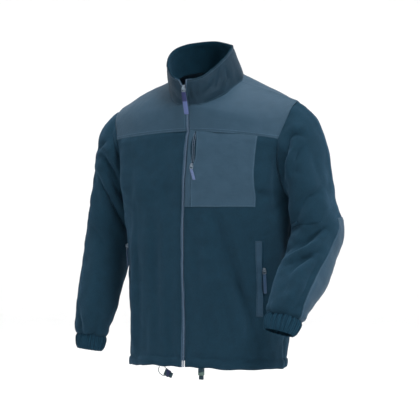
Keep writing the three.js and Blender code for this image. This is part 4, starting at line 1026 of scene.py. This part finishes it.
def seen_crease(surface, folds, strength=1.0, side=1, lower=0):
    """Presses troughs and ridges along bent lines drawn in the plane that faces the viewer.

    With side -1 they press on the cloth that faces away, lower by some millimetres."""
    flat = np.stack([surface.points @ np.array(camera_right), surface.points[..., 2]], axis=-1)
    facing = np.clip(surface.normals @ np.array(camera_back) * side * 2.2 + 0.35 * side, 0, 1)
    move = np.zeros(flat.shape[:2])
    for line, depth, width in folds:
        line = np.array(line, float) - (0, lower)
        spans = np.linalg.norm(np.diff(line, axis=0), axis=1)
        run = np.concatenate([[0], np.cumsum(spans)])
        nearest, along = np.full(move.shape, 1e9), np.zeros(move.shape)
        for k, (a, b) in enumerate(zip(line, line[1:])):
            t = np.clip((flat - a) @ (b - a) / spans[k] ** 2, 0, 1)
            far = np.linalg.norm(flat - a - t[..., None] * (b - a), axis=-1)
            closer = far < nearest
            nearest = np.where(closer, far, nearest)
            along = np.where(closer, (run[k] + t * spans[k]) / run[-1], along)
        fade = 0.3 + 0.7 * np.sin(np.pi * along)
        move += depth * strength * fade * np.exp(-(nearest / width) ** 2)
    surface.move(move * facing)


surfaces["collar"] = Surface(nets["collar"], False, TURN["collar"], step=3)
STRENGTH = dict(sleeve_left=1.7, sleeve_right=1.6, front_left=1.7, front_right=1.7, collar=1.3)
for name, folds in SEEN.items():
    wider = [(line, depth, width * 1.25) for line, depth, width in folds]
    seen_crease(surfaces[name], wider, STRENGTH[name])
    if name.startswith("sleeve"):
        seen_crease(surfaces[name], wider[::2], STRENGTH[name] * 0.8, side=-1, lower=26)
for seed, (name, surface) in enumerate(sorted(surfaces.items())):
    if name.startswith(("front", "back", "sleeve")):
        unevenness(surface, 70, 4.5, seed)
        unevenness(surface, 26, 1.7, seed + 20)
    elif name.startswith("yoke"):
        unevenness(surface, 60, 2.0, 40)
        unevenness(surface, 17, 0.5, 60)
    else:
        unevenness(surface, 30, 1.6, seed)
print("panels creased:", len(surfaces))

# %% [markdown]
# The hem is not a level line. It waves a little up and down, because the cord inside it is drawn tighter in some
# places than in others.

# %% Wavy hem
for name in ("front_right", "front_left", "back"):
    surface = surfaces[name]
    up = surface.lengths()[1] / MM
    wave = np.array([noise.noise(Vector(p) / 34 + Vector((3, 9, 0))) for p in surface.points[0]])
    surface.points[..., 2] += 3.4 * wave[None, :] * np.exp(-up / 26)[:, None]
    surface.refresh()

# %% Seams of the panels
for name in ("front_right", "front_left", "back"):
    seam_dip(surfaces[name], ("top", "last") if name != "back" else ("top", "first", "last"))
for name in ("sleeve_right", "sleeve_left"):
    seam_dip(surfaces[name], ("bottom",), depth=1.6)
    low = edge_distance(surfaces[name], ("top",))
    full = 3.8 if name == "sleeve_left" else 2.0
    surfaces[name].move(full * (np.exp(-((low - 12) / 9) ** 2) - 0.55 * np.exp(-(low / 5) ** 2)))
for name, edges in (("yoke_front_right", ("bottom", "last")), ("yoke_front_left", ("bottom", "last")),
                    ("yoke_back_right", ("bottom", "last")), ("yoke_back_left", ("bottom", "last"))):
    seam_dip(surfaces[name], edges, depth=0.6, reach=3.5, puff=0.3)
    surfaces[name].move(0.7)
for name in surfaces:
    draw_in(surfaces[name])
middles = [surfaces[name].points[:, 0] for name in ("yoke_back_right", "yoke_back_left")]
shared = surfaces["yoke_back_left"].row(YOKE_ROWS["cb"])
middles[0][:shared] = middles[1][:shared] = (middles[0][:shared] + middles[1][:shared]) / 2

# %% [markdown]
# ## Fleece panels
# The hem is turned up over a cord channel 23 mm high. Its wall is thicker than the rest, and it pulls in at the
# row of stitches that closes it. The weight group of the wall tells Solidify how thick each row of points is.

# %% Fronts and back
HEM_HIGH = 23


def hem_weights(surface):
    """The share of the hem's wall that each row of points has."""
    up = surface.lengths()[1] / MM
    plain = FLEECE / HEM_WALL
    roll = 0.72 + 0.28 * np.sin(np.pi * np.clip(up / HEM_HIGH, 0, 1))
    inside = np.where(up < HEM_HIGH - 1.5, roll, plain)
    return inside - 0.07 * np.exp(-((up - HEM_HIGH) / 3.0) ** 2)


cloth = {}
for name in ("front_right", "front_left", "back"):
    surface = surfaces[name]
    up = surface.lengths()[1] / MM
    surface.move((-0.6 * np.exp(-((up - HEM_HIGH) / 3.0) ** 2))[:, None] * np.ones(surface.points.shape[:2]))
    cloth[name] = lay_grid(name + "_cloth", surface, MATERIALS["fleece"], HEM_WALL, hem_weights(surface))

# %% Sleeves, elbow patches and cuffs
for name in ("right", "left"):
    sleeve = surfaces["sleeve_" + name]
    cloth["sleeve_" + name] = lay_grid(f"sleeve_{name}_cloth", sleeve, MATERIALS["fleece"], FLEECE)
    rows = (PATCH["first_row"], CAP_ROWS + RING_ROWS)
    patch = sleeve.part(rows, (PATCH["from_column"], PATCH["to_column"]), FLEECE + SEAM_GAP)
    seam_dip(patch, ("bottom", "first", "last"), depth=0.5, reach=3.5, puff=0.5)
    draw_in(patch)
    cloth["elbow_patch_" + name] = lay_grid(f"elbow_patch_{name}_cloth", patch, MATERIALS["woven"], WOVEN)
    surfaces["elbow_patch_" + name] = patch

CUFF_FINE = 320  # points round a cuff
SEEN_GATHERS = 20


def cuff_surface(side, seed):
    """A gathered ring below the sleeve. Its folds run down from the seam, uneven in width and depth."""
    ring = sleeve_ring(side, side["sleeve"][-1]["z"])
    rows = []
    for step in range(15):
        down = CUFF["high"] * step / 14
        shape = read([dict(z=-row["down"], grow=row["grow"]) for row in CUFF_SHAPE], -down)["grow"]
        row = []
        for c in range(CUFF_FINE):
            angle = math.tau * c / CUFF_FINE - math.pi
            where = Vector((math.cos(angle) * 2.2, math.sin(angle) * 2.2, seed))
            shift = noise.noise(where) * 1.6 + noise.noise(where + Vector((0, 0, 9 + down / 30))) * 0.5
            depth = 0.75 + 0.5 * noise.noise(where * 2 + Vector((0, 0, 20)))
            turn = math.cos(SEEN_GATHERS * angle + shift * 2.2)
            fold = 1 - 2.4 * (0.5 - 0.5 * turn) ** 2.5
            fade = 0.7 + 0.3 * math.cos(math.pi * down / CUFF["high"])
            grow = shape + CUFF["gather_depth"] * 2.3 * depth * fold * fade
            row.append(on_ring(ring, angle, grow) + ring["way"] * (SEAM_GAP / 2 + down))
        rows.append(row)
    return rows


for seed, name in enumerate(("right", "left")):
    rows = cuff_surface(SIDES[name], seed * 5.0)
    fine = Surface(rows, True, outward(rows, row_middle, True), step=9)
    unevenness(fine, 12, 0.5, seed + 80)
    cloth["cuff_" + name] = lay_grid(f"cuff_{name}_cloth", fine, MATERIALS["cuff"], CUFF["wall"])
    surfaces["cuff_" + name] = fine

# %% Yokes and collar
for name in ("yoke_front_right", "yoke_front_left"):
    cloth[name] = lay_grid(name + "_cloth", surfaces[name], MATERIALS["woven"], WOVEN)
back_halves = [surfaces["yoke_back_right"], surfaces["yoke_back_left"]]
cloth["yoke_back"] = lay_grid("yoke_back_cloth", back_halves, MATERIALS["woven"], WOVEN)
collar = surfaces["collar"]
under_edge = edge_distance(collar, ("top",))
collar.move(0.9 * np.exp(-(under_edge / 2.5) ** 2) - 1.0 * np.exp(-((under_edge - 6) / 2.2) ** 2))
cloth["collar"] = lay_grid("collar_cloth", collar, MATERIALS["collar"], WOVEN)
lining = surfaces["collar_inner"] = collar.part((0, len(COLLAR["heights"]) - 1), (0, len(nets["collar"][0]) - 1), -3.7)
cloth["collar_inner"] = lay_grid("collar_inner_cloth", lining, MATERIALS["lining"], 2.0)
# %% [markdown]
# ## Pocket and welts
# These are cut from the same points as the fleece under them, so they follow its folds exactly, and are lifted by
# its wall. Their edges are turned under and stitched down, so they dip at the rim.

# %% Chest pocket and its zip tape
front_left = surfaces["front_left"]
OVER_FLEECE = FLEECE + SEAM_GAP
POCKET_ROWS = (10, 16)


def close_lip(panel, edge, by, slider_at):
    """Draws an edge of a panel over the zip beside it: shut below the slider, a lens-shaped gap above it."""
    points = panel.points
    order = slice(None) if edge == "first" else slice(None, None, -1)
    row_way = points[:, order][:, 0] - points[:, order][:, 2]
    row_way /= np.linalg.norm(row_way, axis=1, keepdims=True)
    z = points[:, order][:, 0, 2]
    top = z.max()
    above = np.clip((z - slider_at) / (top - slider_at), 0, 1)
    shut = np.where(z < slider_at, 1.0, 1 - 1.8 * np.sin(np.pi * above) ** 0.7)
    far = edge_distance(panel, (edge,))[0][order]
    fall = np.exp(-(far / 6) ** 2)
    move = row_way[:, None] * (by * shut[:, None] * fall[None, :])[..., None]
    lifted = panel.normals[:, order] * (1.3 * np.abs(shut)[:, None] * fall[None, :])[..., None]
    points[:, order] += move + lifted
    panel.refresh()


def sewn_on(name, surface, rows, columns, edges, lift=OVER_FLEECE, material="woven", wall=WOVEN, lip=None,
            cross=None):
    """A panel on another one: it dips along the edges that are sewn down."""
    panel = surface.part(rows, columns, lift)
    seam_dip(panel, edges, depth=0.7, reach=3.0, puff=0.5)
    if lip:
        close_lip(panel, *lip)
    if cross is not None:
        panel.move(-1.2 * np.exp(-((panel.points[..., 2] - cross) / 3) ** 2))
    draw_in(panel)
    cloth[name] = lay_grid(name + "_cloth", panel, MATERIALS[material], wall)
    surfaces[name] = panel
    return panel


chest_low, chest_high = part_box("chest_slider")
chest_z = (chest_low.z + chest_high.z) / 2 / MM
sewn_on("chest_pocket_strip", front_left, POCKET_ROWS, (0, 1), ("bottom", "first"), lip=("last", 3.85, chest_z))
sewn_on("chest_pocket", front_left, POCKET_ROWS, (2, 9), ("bottom", "last"), lip=("first", 4.0, chest_z))
tape = front_left.part(POCKET_ROWS, (1, 2), OVER_FLEECE)
draw_in(tape, 0.3)
surfaces["chest_zip_tape"] = tape
cloth["chest_zip_tape"] = lay_grid("chest_zip_tape_cloth", tape, MATERIALS["pocket_tape"], TAPE, rim=0.2)

# %% Side welts and hidden zips
WELT_ROWS, WELT_COLUMNS, WELT_SEAM_Z = (4, 8), (9, 10), -476
for name in ("right", "left"):
    front = surfaces["front_" + name]
    # The welt material is the same woven nylon painted darker, as painted shade at the sides of the body.
    sewn_on("welt_" + name, front, WELT_ROWS, WELT_COLUMNS, ("bottom", "top", "first"), material="welt",
            cross=WELT_SEAM_Z)
    strip = front.part(WELT_ROWS, (WELT_COLUMNS[1], WELT_COLUMNS[1] + 0.25), FLEECE + FREE_GAP)
    draw_in(strip, 0.25)
    surfaces["side_zip_" + name] = strip
    cloth["side_zip_" + name] = lay_grid(f"side_zip_{name}_cloth", strip, MATERIALS["hidden_tape"], 0.5, rim=0.2)


# %% [markdown]
# ## Zips
# A zip is two tapes with teeth along their edges. One bevelled tooth is made once and set along the zip some
# hundreds of times, left and right in turn. Above the slider the two edges part and each keeps its own teeth.

# %% Lines on a surface
def along_rows(points, distance):
    """Points at a distance (mm) from the first column of a grid, along each row; below zero it goes beyond."""
    found = []
    for row in points:
        if distance <= 0:
            way = row[0] - row[2]
            found.append(row[0] + way / np.linalg.norm(way) * -distance)
            continue
        run = np.concatenate([[0], np.cumsum(np.linalg.norm(np.diff(row, axis=0), axis=1))])
        found.append(np.array([np.interp(distance, run, row[:, k]) for k in range(3)]))
    return np.array(found)


def line_beside(surface, edge, distance, lift):
    """A line on a surface beside one of its edges, with the normals there."""
    points = surface.points
    normals = surface.normals
    if edge in ("bottom", "top"):
        points, normals = points.transpose(1, 0, 2), normals.transpose(1, 0, 2)
    if edge in ("top", "last"):
        points, normals = points[:, ::-1], normals[:, ::-1]
    run = np.concatenate([[0], np.cumsum(np.linalg.norm(np.diff(points, axis=1), axis=2).mean(axis=0))])
    k = int(np.searchsorted(run, distance))
    k = min(max(k, 1), points.shape[1] - 1)
    return along_rows(points, distance) + normals[:, k] * lift, normals[:, k]


def evenly(points, normals, pitch, start=0.5):
    """Matrices along a line, pitch apart: x across, y along, z out of the cloth."""
    run = np.concatenate([[0], np.cumsum(np.linalg.norm(np.diff(points, axis=0), axis=1))])
    at = np.arange(start * pitch, run[-1] - 0.3 * pitch, pitch)
    here = np.stack([np.interp(at, run, points[:, k]) for k in range(3)], axis=1)
    ahead = np.stack([np.interp(at + 0.5, run, points[:, k]) for k in range(3)], axis=1)
    behind = np.stack([np.interp(at - 0.5, run, points[:, k]) for k in range(3)], axis=1)
    out = np.stack([np.interp(at, run, normals[:, k]) for k in range(3)], axis=1)
    places = []
    for p, a, b, n in zip(here, ahead, behind, out):
        along = Vector(a - b).normalized()
        z = Vector(n)
        z = (z - along * z.dot(along)).normalized()
        x = along.cross(z)
        places.append(Matrix.Translation(p) @ Matrix((x, along, z)).transposed().to_4x4())
    return places


def block_shape(wide, long, high, rim):
    """A bevelled block, 26 faces, in millimetres: a tooth or a stitch."""
    bm = bmesh.new()
    bmesh.ops.create_cube(bm, size=1, matrix=Matrix.Diagonal((wide, long, high, 1)))
    bmesh.ops.bevel(bm, geom=bm.edges[:], offset=rim, segments=1, profile=0.5, affect="EDGES", material=-1)
    mesh = bpy.data.meshes.new("block")
    bm.to_mesh(mesh)
    bm.free()
    return mesh


def set_along(name, shape, places, material, body="jacket"):
    """One mesh of many copies of a small shape."""
    count = len(shape.vertices)
    co = np.empty(count * 3, np.float32)
    shape.vertices.foreach_get("co", co)
    co = co.reshape(-1, 3)
    bm = bmesh.new()
    for k, matrix in enumerate(places):
        bm.from_mesh(shape)
        bm.verts.ensure_lookup_table()
        bmesh.ops.transform(bm, matrix=matrix, verts=bm.verts[k * count:])
    bmesh.ops.scale(bm, vec=(MM, MM, MM), verts=bm.verts)
    for face in bm.faces:
        face.smooth = True
    obj = new_object(name, bm, [MATERIALS[material]])
    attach(obj, body)
    return obj


# %% Main zip: tapes and the middle line
def front_edge(side, distance, lift):
    """The front edge of one side from the hem to the top of the collar, at a distance inwards from the edge."""
    parts, normals = [], []
    collar_surface = surfaces["collar"]
    flip = slice(None, None, -1) if side == "left" else slice(None)
    yoke = surfaces["yoke_front_" + side]
    cf = yoke.row(YOKE_ROWS["cf"])
    for surface, rows in ((surfaces["front_" + side], slice(None)), (yoke, slice(2, cf - 1))):
        parts.append(along_rows(surface.points[rows], distance) + surface.normals[rows, 0] * lift)
        normals.append(surface.normals[rows, 0])
    rows = collar_surface.points[1:, flip]
    out = collar_surface.normals[1:, flip][:, 0]
    parts.append(along_rows(rows, distance) + out * lift)
    normals.append(out)
    return np.concatenate(parts), np.concatenate(normals)


def resampled(points, count):
    run = np.concatenate([[0], np.cumsum(np.linalg.norm(np.diff(points, axis=0), axis=1))])
    at = np.linspace(0, run[-1], count)
    return np.stack([np.interp(at, run, points[:, k]) for k in range(3)], axis=1)


ZIP_STEPS = 240
slider_low, slider_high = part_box("main_slider")
slider_z = (slider_low.z + slider_high.z) / 2 / MM
for side in ("right", "left"):
    distances = (-2.2, -1, 0.5, 2.5, 5, 8, 11)
    columns = [resampled(front_edge(side, d, -FREE_GAP - TAPE)[0], ZIP_STEPS) for d in distances]
    grid = np.stack(columns, axis=1)
    strip = Surface.__new__(Surface)
    strip.closed, strip.points = False, grid
    strip.across, strip.up = [1] * (grid.shape[1] - 1), [1] * (grid.shape[0] - 1)
    strip.turn = 1
    strip.refresh()
    strip.turn = 1 if strip.normals[20, 2][1] < 0 else -1
    strip.refresh()
    surfaces["zip_tape_" + side] = strip
    cloth["zip_tape_" + side] = lay_grid(f"zip_tape_{side}_cloth", strip, MATERIALS["tape"], TAPE, rim=0.15)

edges = {side: resampled(front_edge(side, 0, 0)[0], ZIP_STEPS) for side in ("right", "left")}
middle_line = (edges["right"] + edges["left"]) / 2
middle_line = middle_line[middle_line[:, 2] < slider_z]
print("closed zip:", round(float(np.linalg.norm(np.diff(middle_line, axis=0), axis=1).sum())), "mm")

# %% Teeth of the main zip
TOOTH = block_shape(3.3, 1.55, 2.2, 0.35)
TOOTH_PITCH = 2.6
out_normals = np.zeros_like(middle_line)
slope = np.gradient(middle_line, axis=0)
out_normals[:, 1], out_normals[:, 2] = -slope[:, 2], slope[:, 1]
out_normals /= np.linalg.norm(out_normals, axis=1, keepdims=True)
teeth = []
for k, matrix in enumerate(evenly(middle_line + out_normals * 0.35, out_normals, TOOTH_PITCH / 2)):
    teeth.append(matrix @ Matrix.Translation(((-1.15, 1.15)[k % 2], 0, 0)))
chain = set_along("zip_chain_teeth", TOOTH, teeth, "chain")
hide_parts("zip_chain")
print("teeth of the closed chain:", len(teeth))

for side in ("right", "left"):
    line, out = front_edge(side, -2.6, 0.3)
    keep = line[:, 2] > slider_z + 5
    places = evenly(line[keep], out[keep], TOOTH_PITCH)
    ends = set_along(f"zip_end_{side}_teeth", TOOTH, places, "chain")
    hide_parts("zip_end_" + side)

# %% Coils of the pocket zips
COIL = block_shape(3.4, 0.8, 1.1, 0.25)
wide = np.linalg.norm(tape.points[:, -1] - tape.points[:, 0], axis=1).mean()
centre, out = line_beside(tape, "first", wide / 2, TAPE + 0.35)
coil = []
for distance in (1.4, wide - 1.4):
    line, out = line_beside(tape, "first", distance, TAPE + 0.35)
    opened = line[:, 2] > chest_z + 4
    half = Matrix.Diagonal((0.6, 1, 1, 1))
    coil += [m @ half for m in evenly(line[opened], out[opened], 1.5)]
set_along("chest_zip_coil", COIL, coil, "coil")
for side in ("right", "left"):
    strip = surfaces["side_zip_" + side]
    wide = np.linalg.norm(strip.points[:, -1] - strip.points[:, 0], axis=1).mean()
    line, out = line_beside(strip, "first", wide / 2, 0.4)
    set_along(f"side_zip_{side}_coil", COIL, evenly(line, out, 1.5), "hidden_tape")

# %% [markdown]
# ## Topstitching
# Seams of an overlay are held by a row of stitches 3 mm from the edge. Each stitch is a small pill of thread that
# sinks into the cloth at its ends.

# %% Rows of stitches
STITCH = block_shape(0.75, 2.5, 0.7, 0.25)
STITCH_PITCH = 3.4


def stitched(name, rows, material="thread"):
    """Rows of stitches: each is a surface, an edge, the distance from it and the wall that it lies on."""
    places = []
    for surface, edge, distance, wall in rows:
        line, out = line_beside(surface, edge, distance, wall)
        places += evenly(line, out, STITCH_PITCH)
    piece = set_along(name, STITCH, places, material)
    print(name, len(places))
    return piece


yoke_rows = [(surfaces[n], "bottom", d, WOVEN) for d in (2.5, 7.5)
             for n in ("yoke_front_right", "yoke_front_left", "yoke_back_right", "yoke_back_left")]
stitched("yoke_stitches", yoke_rows)
stitched("pocket_stitches", [
    (surfaces["chest_pocket"], "bottom", 2.2, WOVEN), (surfaces["chest_pocket"], "last", 2.2, WOVEN),
    (surfaces["chest_pocket"], "first", 3.2, WOVEN),
    (surfaces["chest_pocket_strip"], "bottom", 2.2, WOVEN)])
stitched("welt_stitches", [(surfaces["welt_" + n], e, 2.0, WOVEN) for n in ("right", "left")
                           for e in ("first", "bottom", "top")], "dark_thread")
stitched("patch_stitches", [(surfaces["elbow_patch_" + n], e, 2.2, WOVEN) for n in ("right", "left")
                            for e in ("first", "last", "bottom")])
stitched("front_edge_stitches", [(surfaces["front_" + n], "first", 4, FLEECE) for n in ("right", "left")],
         "dark_thread")
stitched("hem_stitches", [(surfaces[n], "bottom", HEM_HIGH, HEM_WALL * 0.33) for n in
                          ("front_right", "front_left", "back")], "dark_thread")
stitched("collar_stitches", [(collar, "bottom", 3, WOVEN), (collar, "top", 4, WOVEN)])

# %% [markdown]
# ## Sliders, pulls and locks
# The cast and moulded parts have their true shapes in the frame. A merged copy of each gets rounded edges.

# %% Rounded copies of hard parts
HARD = {
    "main_slider": ("metal", "jacket", "slider"), "main_pull": ("metal", "main_tab", "slider"),
    "main_grip": ("grip_blue", "main_tab", "grip_blue"),
    "chest_slider": ("metal", "jacket", "slider"), "chest_pull": ("metal", "chest_tab", "slider"),
    "chest_grip": ("grip_pale", "chest_tab", "grip_pale"),
    "side_left_slider": ("metal", "jacket", "slider"), "side_left_pull": ("metal", "side_left_tab", "slider"),
    "side_left_grip": ("grip_dark", "side_left_tab", "grip_pale"),
    "side_right_slider": ("metal", "jacket", "slider"), "side_right_pull": ("metal", "side_right_tab", "slider"),
    "side_right_grip": ("grip_dark", "side_right_tab", "grip_pale"),
    "cord_lock_right": ("lock", "jacket", "cord_lock"), "cord_button_right": ("lock", "jacket", "cord_lock"),
    "cord_lock_left": ("lock", "jacket", "cord_lock"), "cord_button_left": ("lock", "jacket", "cord_lock"),
}
TWO_TONE = {  # the second colour of a part, the way that it lies in and the share of the part before it
    "main_grip": ("grip_light", (0, 0, -1), 0.42),
    "cord_lock_right": ("lock_navy", (1, 0, 0), 0.5),
    "cord_lock_left": ("lock_grey", (0.3, 0, -1), 0.55),
}


def two_tones(bm, way, share):
    """Cuts a part across and gives the far side its second material."""
    way = Vector(way).normalized()
    reach = [v.co.dot(way) for v in bm.verts]
    level = min(reach) + (max(reach) - min(reach)) * share
    bmesh.ops.bisect_plane(bm, geom=bm.verts[:] + bm.edges[:] + bm.faces[:], plane_co=way * level, plane_no=way)
    for face in bm.faces:
        face.material_index = 1 if face.calc_center_median().dot(way) > level else 0


for node, (material, body, slot) in HARD.items():
    bm = bmesh.new()
    bm.from_mesh(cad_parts[node].data)
    bmesh.ops.remove_doubles(bm, verts=bm.verts, dist=1e-6)
    bmesh.ops.dissolve_limit(bm, angle_limit=math.radians(2), verts=bm.verts, edges=bm.edges)
    for face in bm.faces:
        face.smooth = True
    colours = [MATERIALS[material]]
    if node in TWO_TONE:
        second, way, share = TWO_TONE[node]
        two_tones(bm, way, share)
        colours.append(MATERIALS[second])
    piece = new_object(node + "_round", bm, colours)
    round_edges = piece.modifiers.new("round", "BEVEL")
    round_edges.width, round_edges.segments = (0.9 if "lock" in node or "button" in node else 0.35) * MM, 3
    round_edges.limit_method, round_edges.angle_limit = "ANGLE", math.radians(30)
    round_edges.harden_normals = False
    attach(piece, body)
    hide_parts(node)

# %% [markdown]
# ## Hem cord
# The elastic cord leaves the hem, makes one loop, runs through its lock and goes back into the hem. It is a curve
# with a round section.

# %% The loop below the hem
CORD_THICK = 2.0
CORD_ROUTE = [
    (-67.26, -134.91, -705.22), (-67.26, -134.91, -708.22), (-69.3, -134.91, -712.5), (-67.5, -134.91, -719.5),
    (-61.5, -134.91, -725), (-55, -134.91, -727.5), (-50.86, -136.23, -726.06), (-47.33, -136.23, -718.55),
    (-43.79, -136.23, -711.04), (-49.79, -136.23, -707.75), (-49.79, -136.23, -704.75)]


def cord_line(t):
    """A smooth line through the points of the route."""
    ends = [CORD_ROUTE[0], *CORD_ROUTE, CORD_ROUTE[-1]]
    k = min(int(t * (len(CORD_ROUTE) - 1)), len(CORD_ROUTE) - 2)
    p0, p1, p2, p3 = (Vector(p) for p in ends[k:k + 4])
    return hermite(p1, (p2 - p0) / 2, p2, (p3 - p1) / 2, t * (len(CORD_ROUTE) - 1) - k)


route = at_distances(cord_line, lambda total: [total * k / 60 for k in range(61)])
curve = bpy.data.curves.new("hem cord", "CURVE")
curve.dimensions, curve.bevel_depth, curve.bevel_resolution = "3D", CORD_THICK / 2 * MM, 3
curve.use_fill_caps = True
spline = curve.splines.new("POLY")
spline.points.add(len(route) - 1)
for point, p in zip(spline.points, route):
    point.co = (*(p * MM), 1)
curve.materials.append(MATERIALS["cord"])
hem_cord = bpy.data.objects.new("hem_cord", curve)
bpy.context.scene.collection.objects.link(hem_cord)
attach(hem_cord, "jacket")
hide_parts("cord_right")

# %% [markdown]
# ## Riding and cut sizes
# Every piece of cloth rides on the jacket and stands for its solid. Its flat size is measured on its own surface.


def area_of(surface):
    points = surface.points
    if surface.closed:
        points = np.concatenate([points, points[:, :1]], axis=1)
    across, up = points[1:, 1:] - points[:-1, :-1], points[1:, :-1] - points[:-1, 1:]
    return float(np.linalg.norm(np.cross(across, up), axis=2).sum() / 2) * MM * MM


for name, piece in cloth.items():
    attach(piece, "jacket")
    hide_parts(name)
    parts = back_halves if name == "yoke_back" else [surfaces[name]]
    sizes = [part.lengths() for part in parts]
    wide, long = sum(float(u[-1]) for u, v in sizes), max(float(v[-1]) for u, v in sizes)
    wide, long = (math.ceil(size * 1000) / 1000 for size in (wide, long))
    area = min(sum(area_of(part) for part in parts), wide * long)
    print(f"{name}: {wide * 1000:.0f} x {long * 1000:.0f} mm, {area * 10000:.0f} cm2")

# %% [markdown]
# ## Light, floor and camera
# The picture is a soft, even one on white. A large sheet of pale floor runs up behind the jacket, wide soft lamps
# stand in front and above, and the sky adds light from all round. The camera stands a few metres off with a long
# lens, level with the middle of the jacket and to its left.

# %% Camera
VIEW_HEIGHT, VIEW_FAR, FOCUS_PIXELS = -325, 3400, 1360
camera_data = bpy.data.cameras.new("camera")
camera_data.sensor_width = 36
camera_data.lens = FOCUS_PIXELS / 420 * 36
camera_data.clip_end = 50
camera = bpy.data.objects.new("camera", camera_data)
bpy.context.scene.collection.objects.link(camera)
camera.location = (camera_right * 1.25 + camera_back * VIEW_FAR + Vector((0, 0, VIEW_HEIGHT))) * MM
camera.rotation_euler = (math.pi / 2, 0, VIEW_TURN)
bpy.context.scene.camera = camera

# %% Floor and backdrop
FLOOR_Z, FLOOR_RADIUS, BEND, WALL_TOP = -1.02, 7.0, 2.0, 6.0
bm = bmesh.new()
profile = [bm.verts.new((0, 0, FLOOR_Z)), bm.verts.new((FLOOR_RADIUS - BEND, 0, FLOOR_Z))]
for k in range(1, 13):
    turn = math.pi / 2 * k / 12
    profile.append(bm.verts.new((FLOOR_RADIUS - BEND + BEND * math.sin(turn), 0, FLOOR_Z + BEND * (1 - math.cos(turn)))))
profile.append(bm.verts.new((FLOOR_RADIUS, 0, WALL_TOP)))
lines = [bm.edges.new(pair) for pair in zip(profile, profile[1:])]
bmesh.ops.spin(bm, geom=profile + lines, cent=(0, 0, 0), axis=(0, 0, 1), angle=math.tau, steps=96, use_merge=True)
bmesh.ops.remove_doubles(bm, verts=bm.verts, dist=1e-5)
bmesh.ops.recalc_face_normals(bm, faces=bm.faces)
for face in bm.faces:
    face.smooth = True
floor_material, floor_tree, floor_shader = start_material("pale floor")
grain = add(floor_tree, "ShaderNodeTexNoise", {"Vector": place(floor_tree), "Scale": 14, "Detail": 2})
floor_tree.links.new(shades(floor_tree, grain.outputs["Fac"], "#fcfcfc", "#fefefe"), floor_shader.inputs["Base Color"])
floor_shader.inputs["Roughness"].default_value = 0.9
floor = new_object("floor", bm, [floor_material])

# %% Lamps and sky
def lamp(name, place_at, size, power):
    data = bpy.data.lights.new(name, "AREA")
    data.shape, data.size, data.energy = "SQUARE", size, power
    obj = bpy.data.objects.new(name, data)
    bpy.context.scene.collection.objects.link(obj)
    obj.location = place_at
    obj.rotation_euler = (Vector(place_at) - Vector((0, 0, -0.33))).to_track_quat("Z", "Y").to_euler()
    return obj


lamp("key", camera_back * 2.2 + camera_right * 1.2 + Vector((0, 0, 2.6)), 1.0, 140)
lamp("fill", camera_back * 3.2 - camera_right * 2.4 + Vector((0, 0, 0.5)), 2.4, 8)
lamp("top", Vector((0, 0.2, 2.6)), 1.6, 50)
world = bpy.data.worlds.new("sky")
world.use_nodes = True
world.node_tree.nodes["Background"].inputs["Color"].default_value = linear("#ffffff")
world.node_tree.nodes["Background"].inputs["Strength"].default_value = 0.8
bpy.context.scene.world = world
bpy.context.scene.view_settings.view_transform = "Standard"
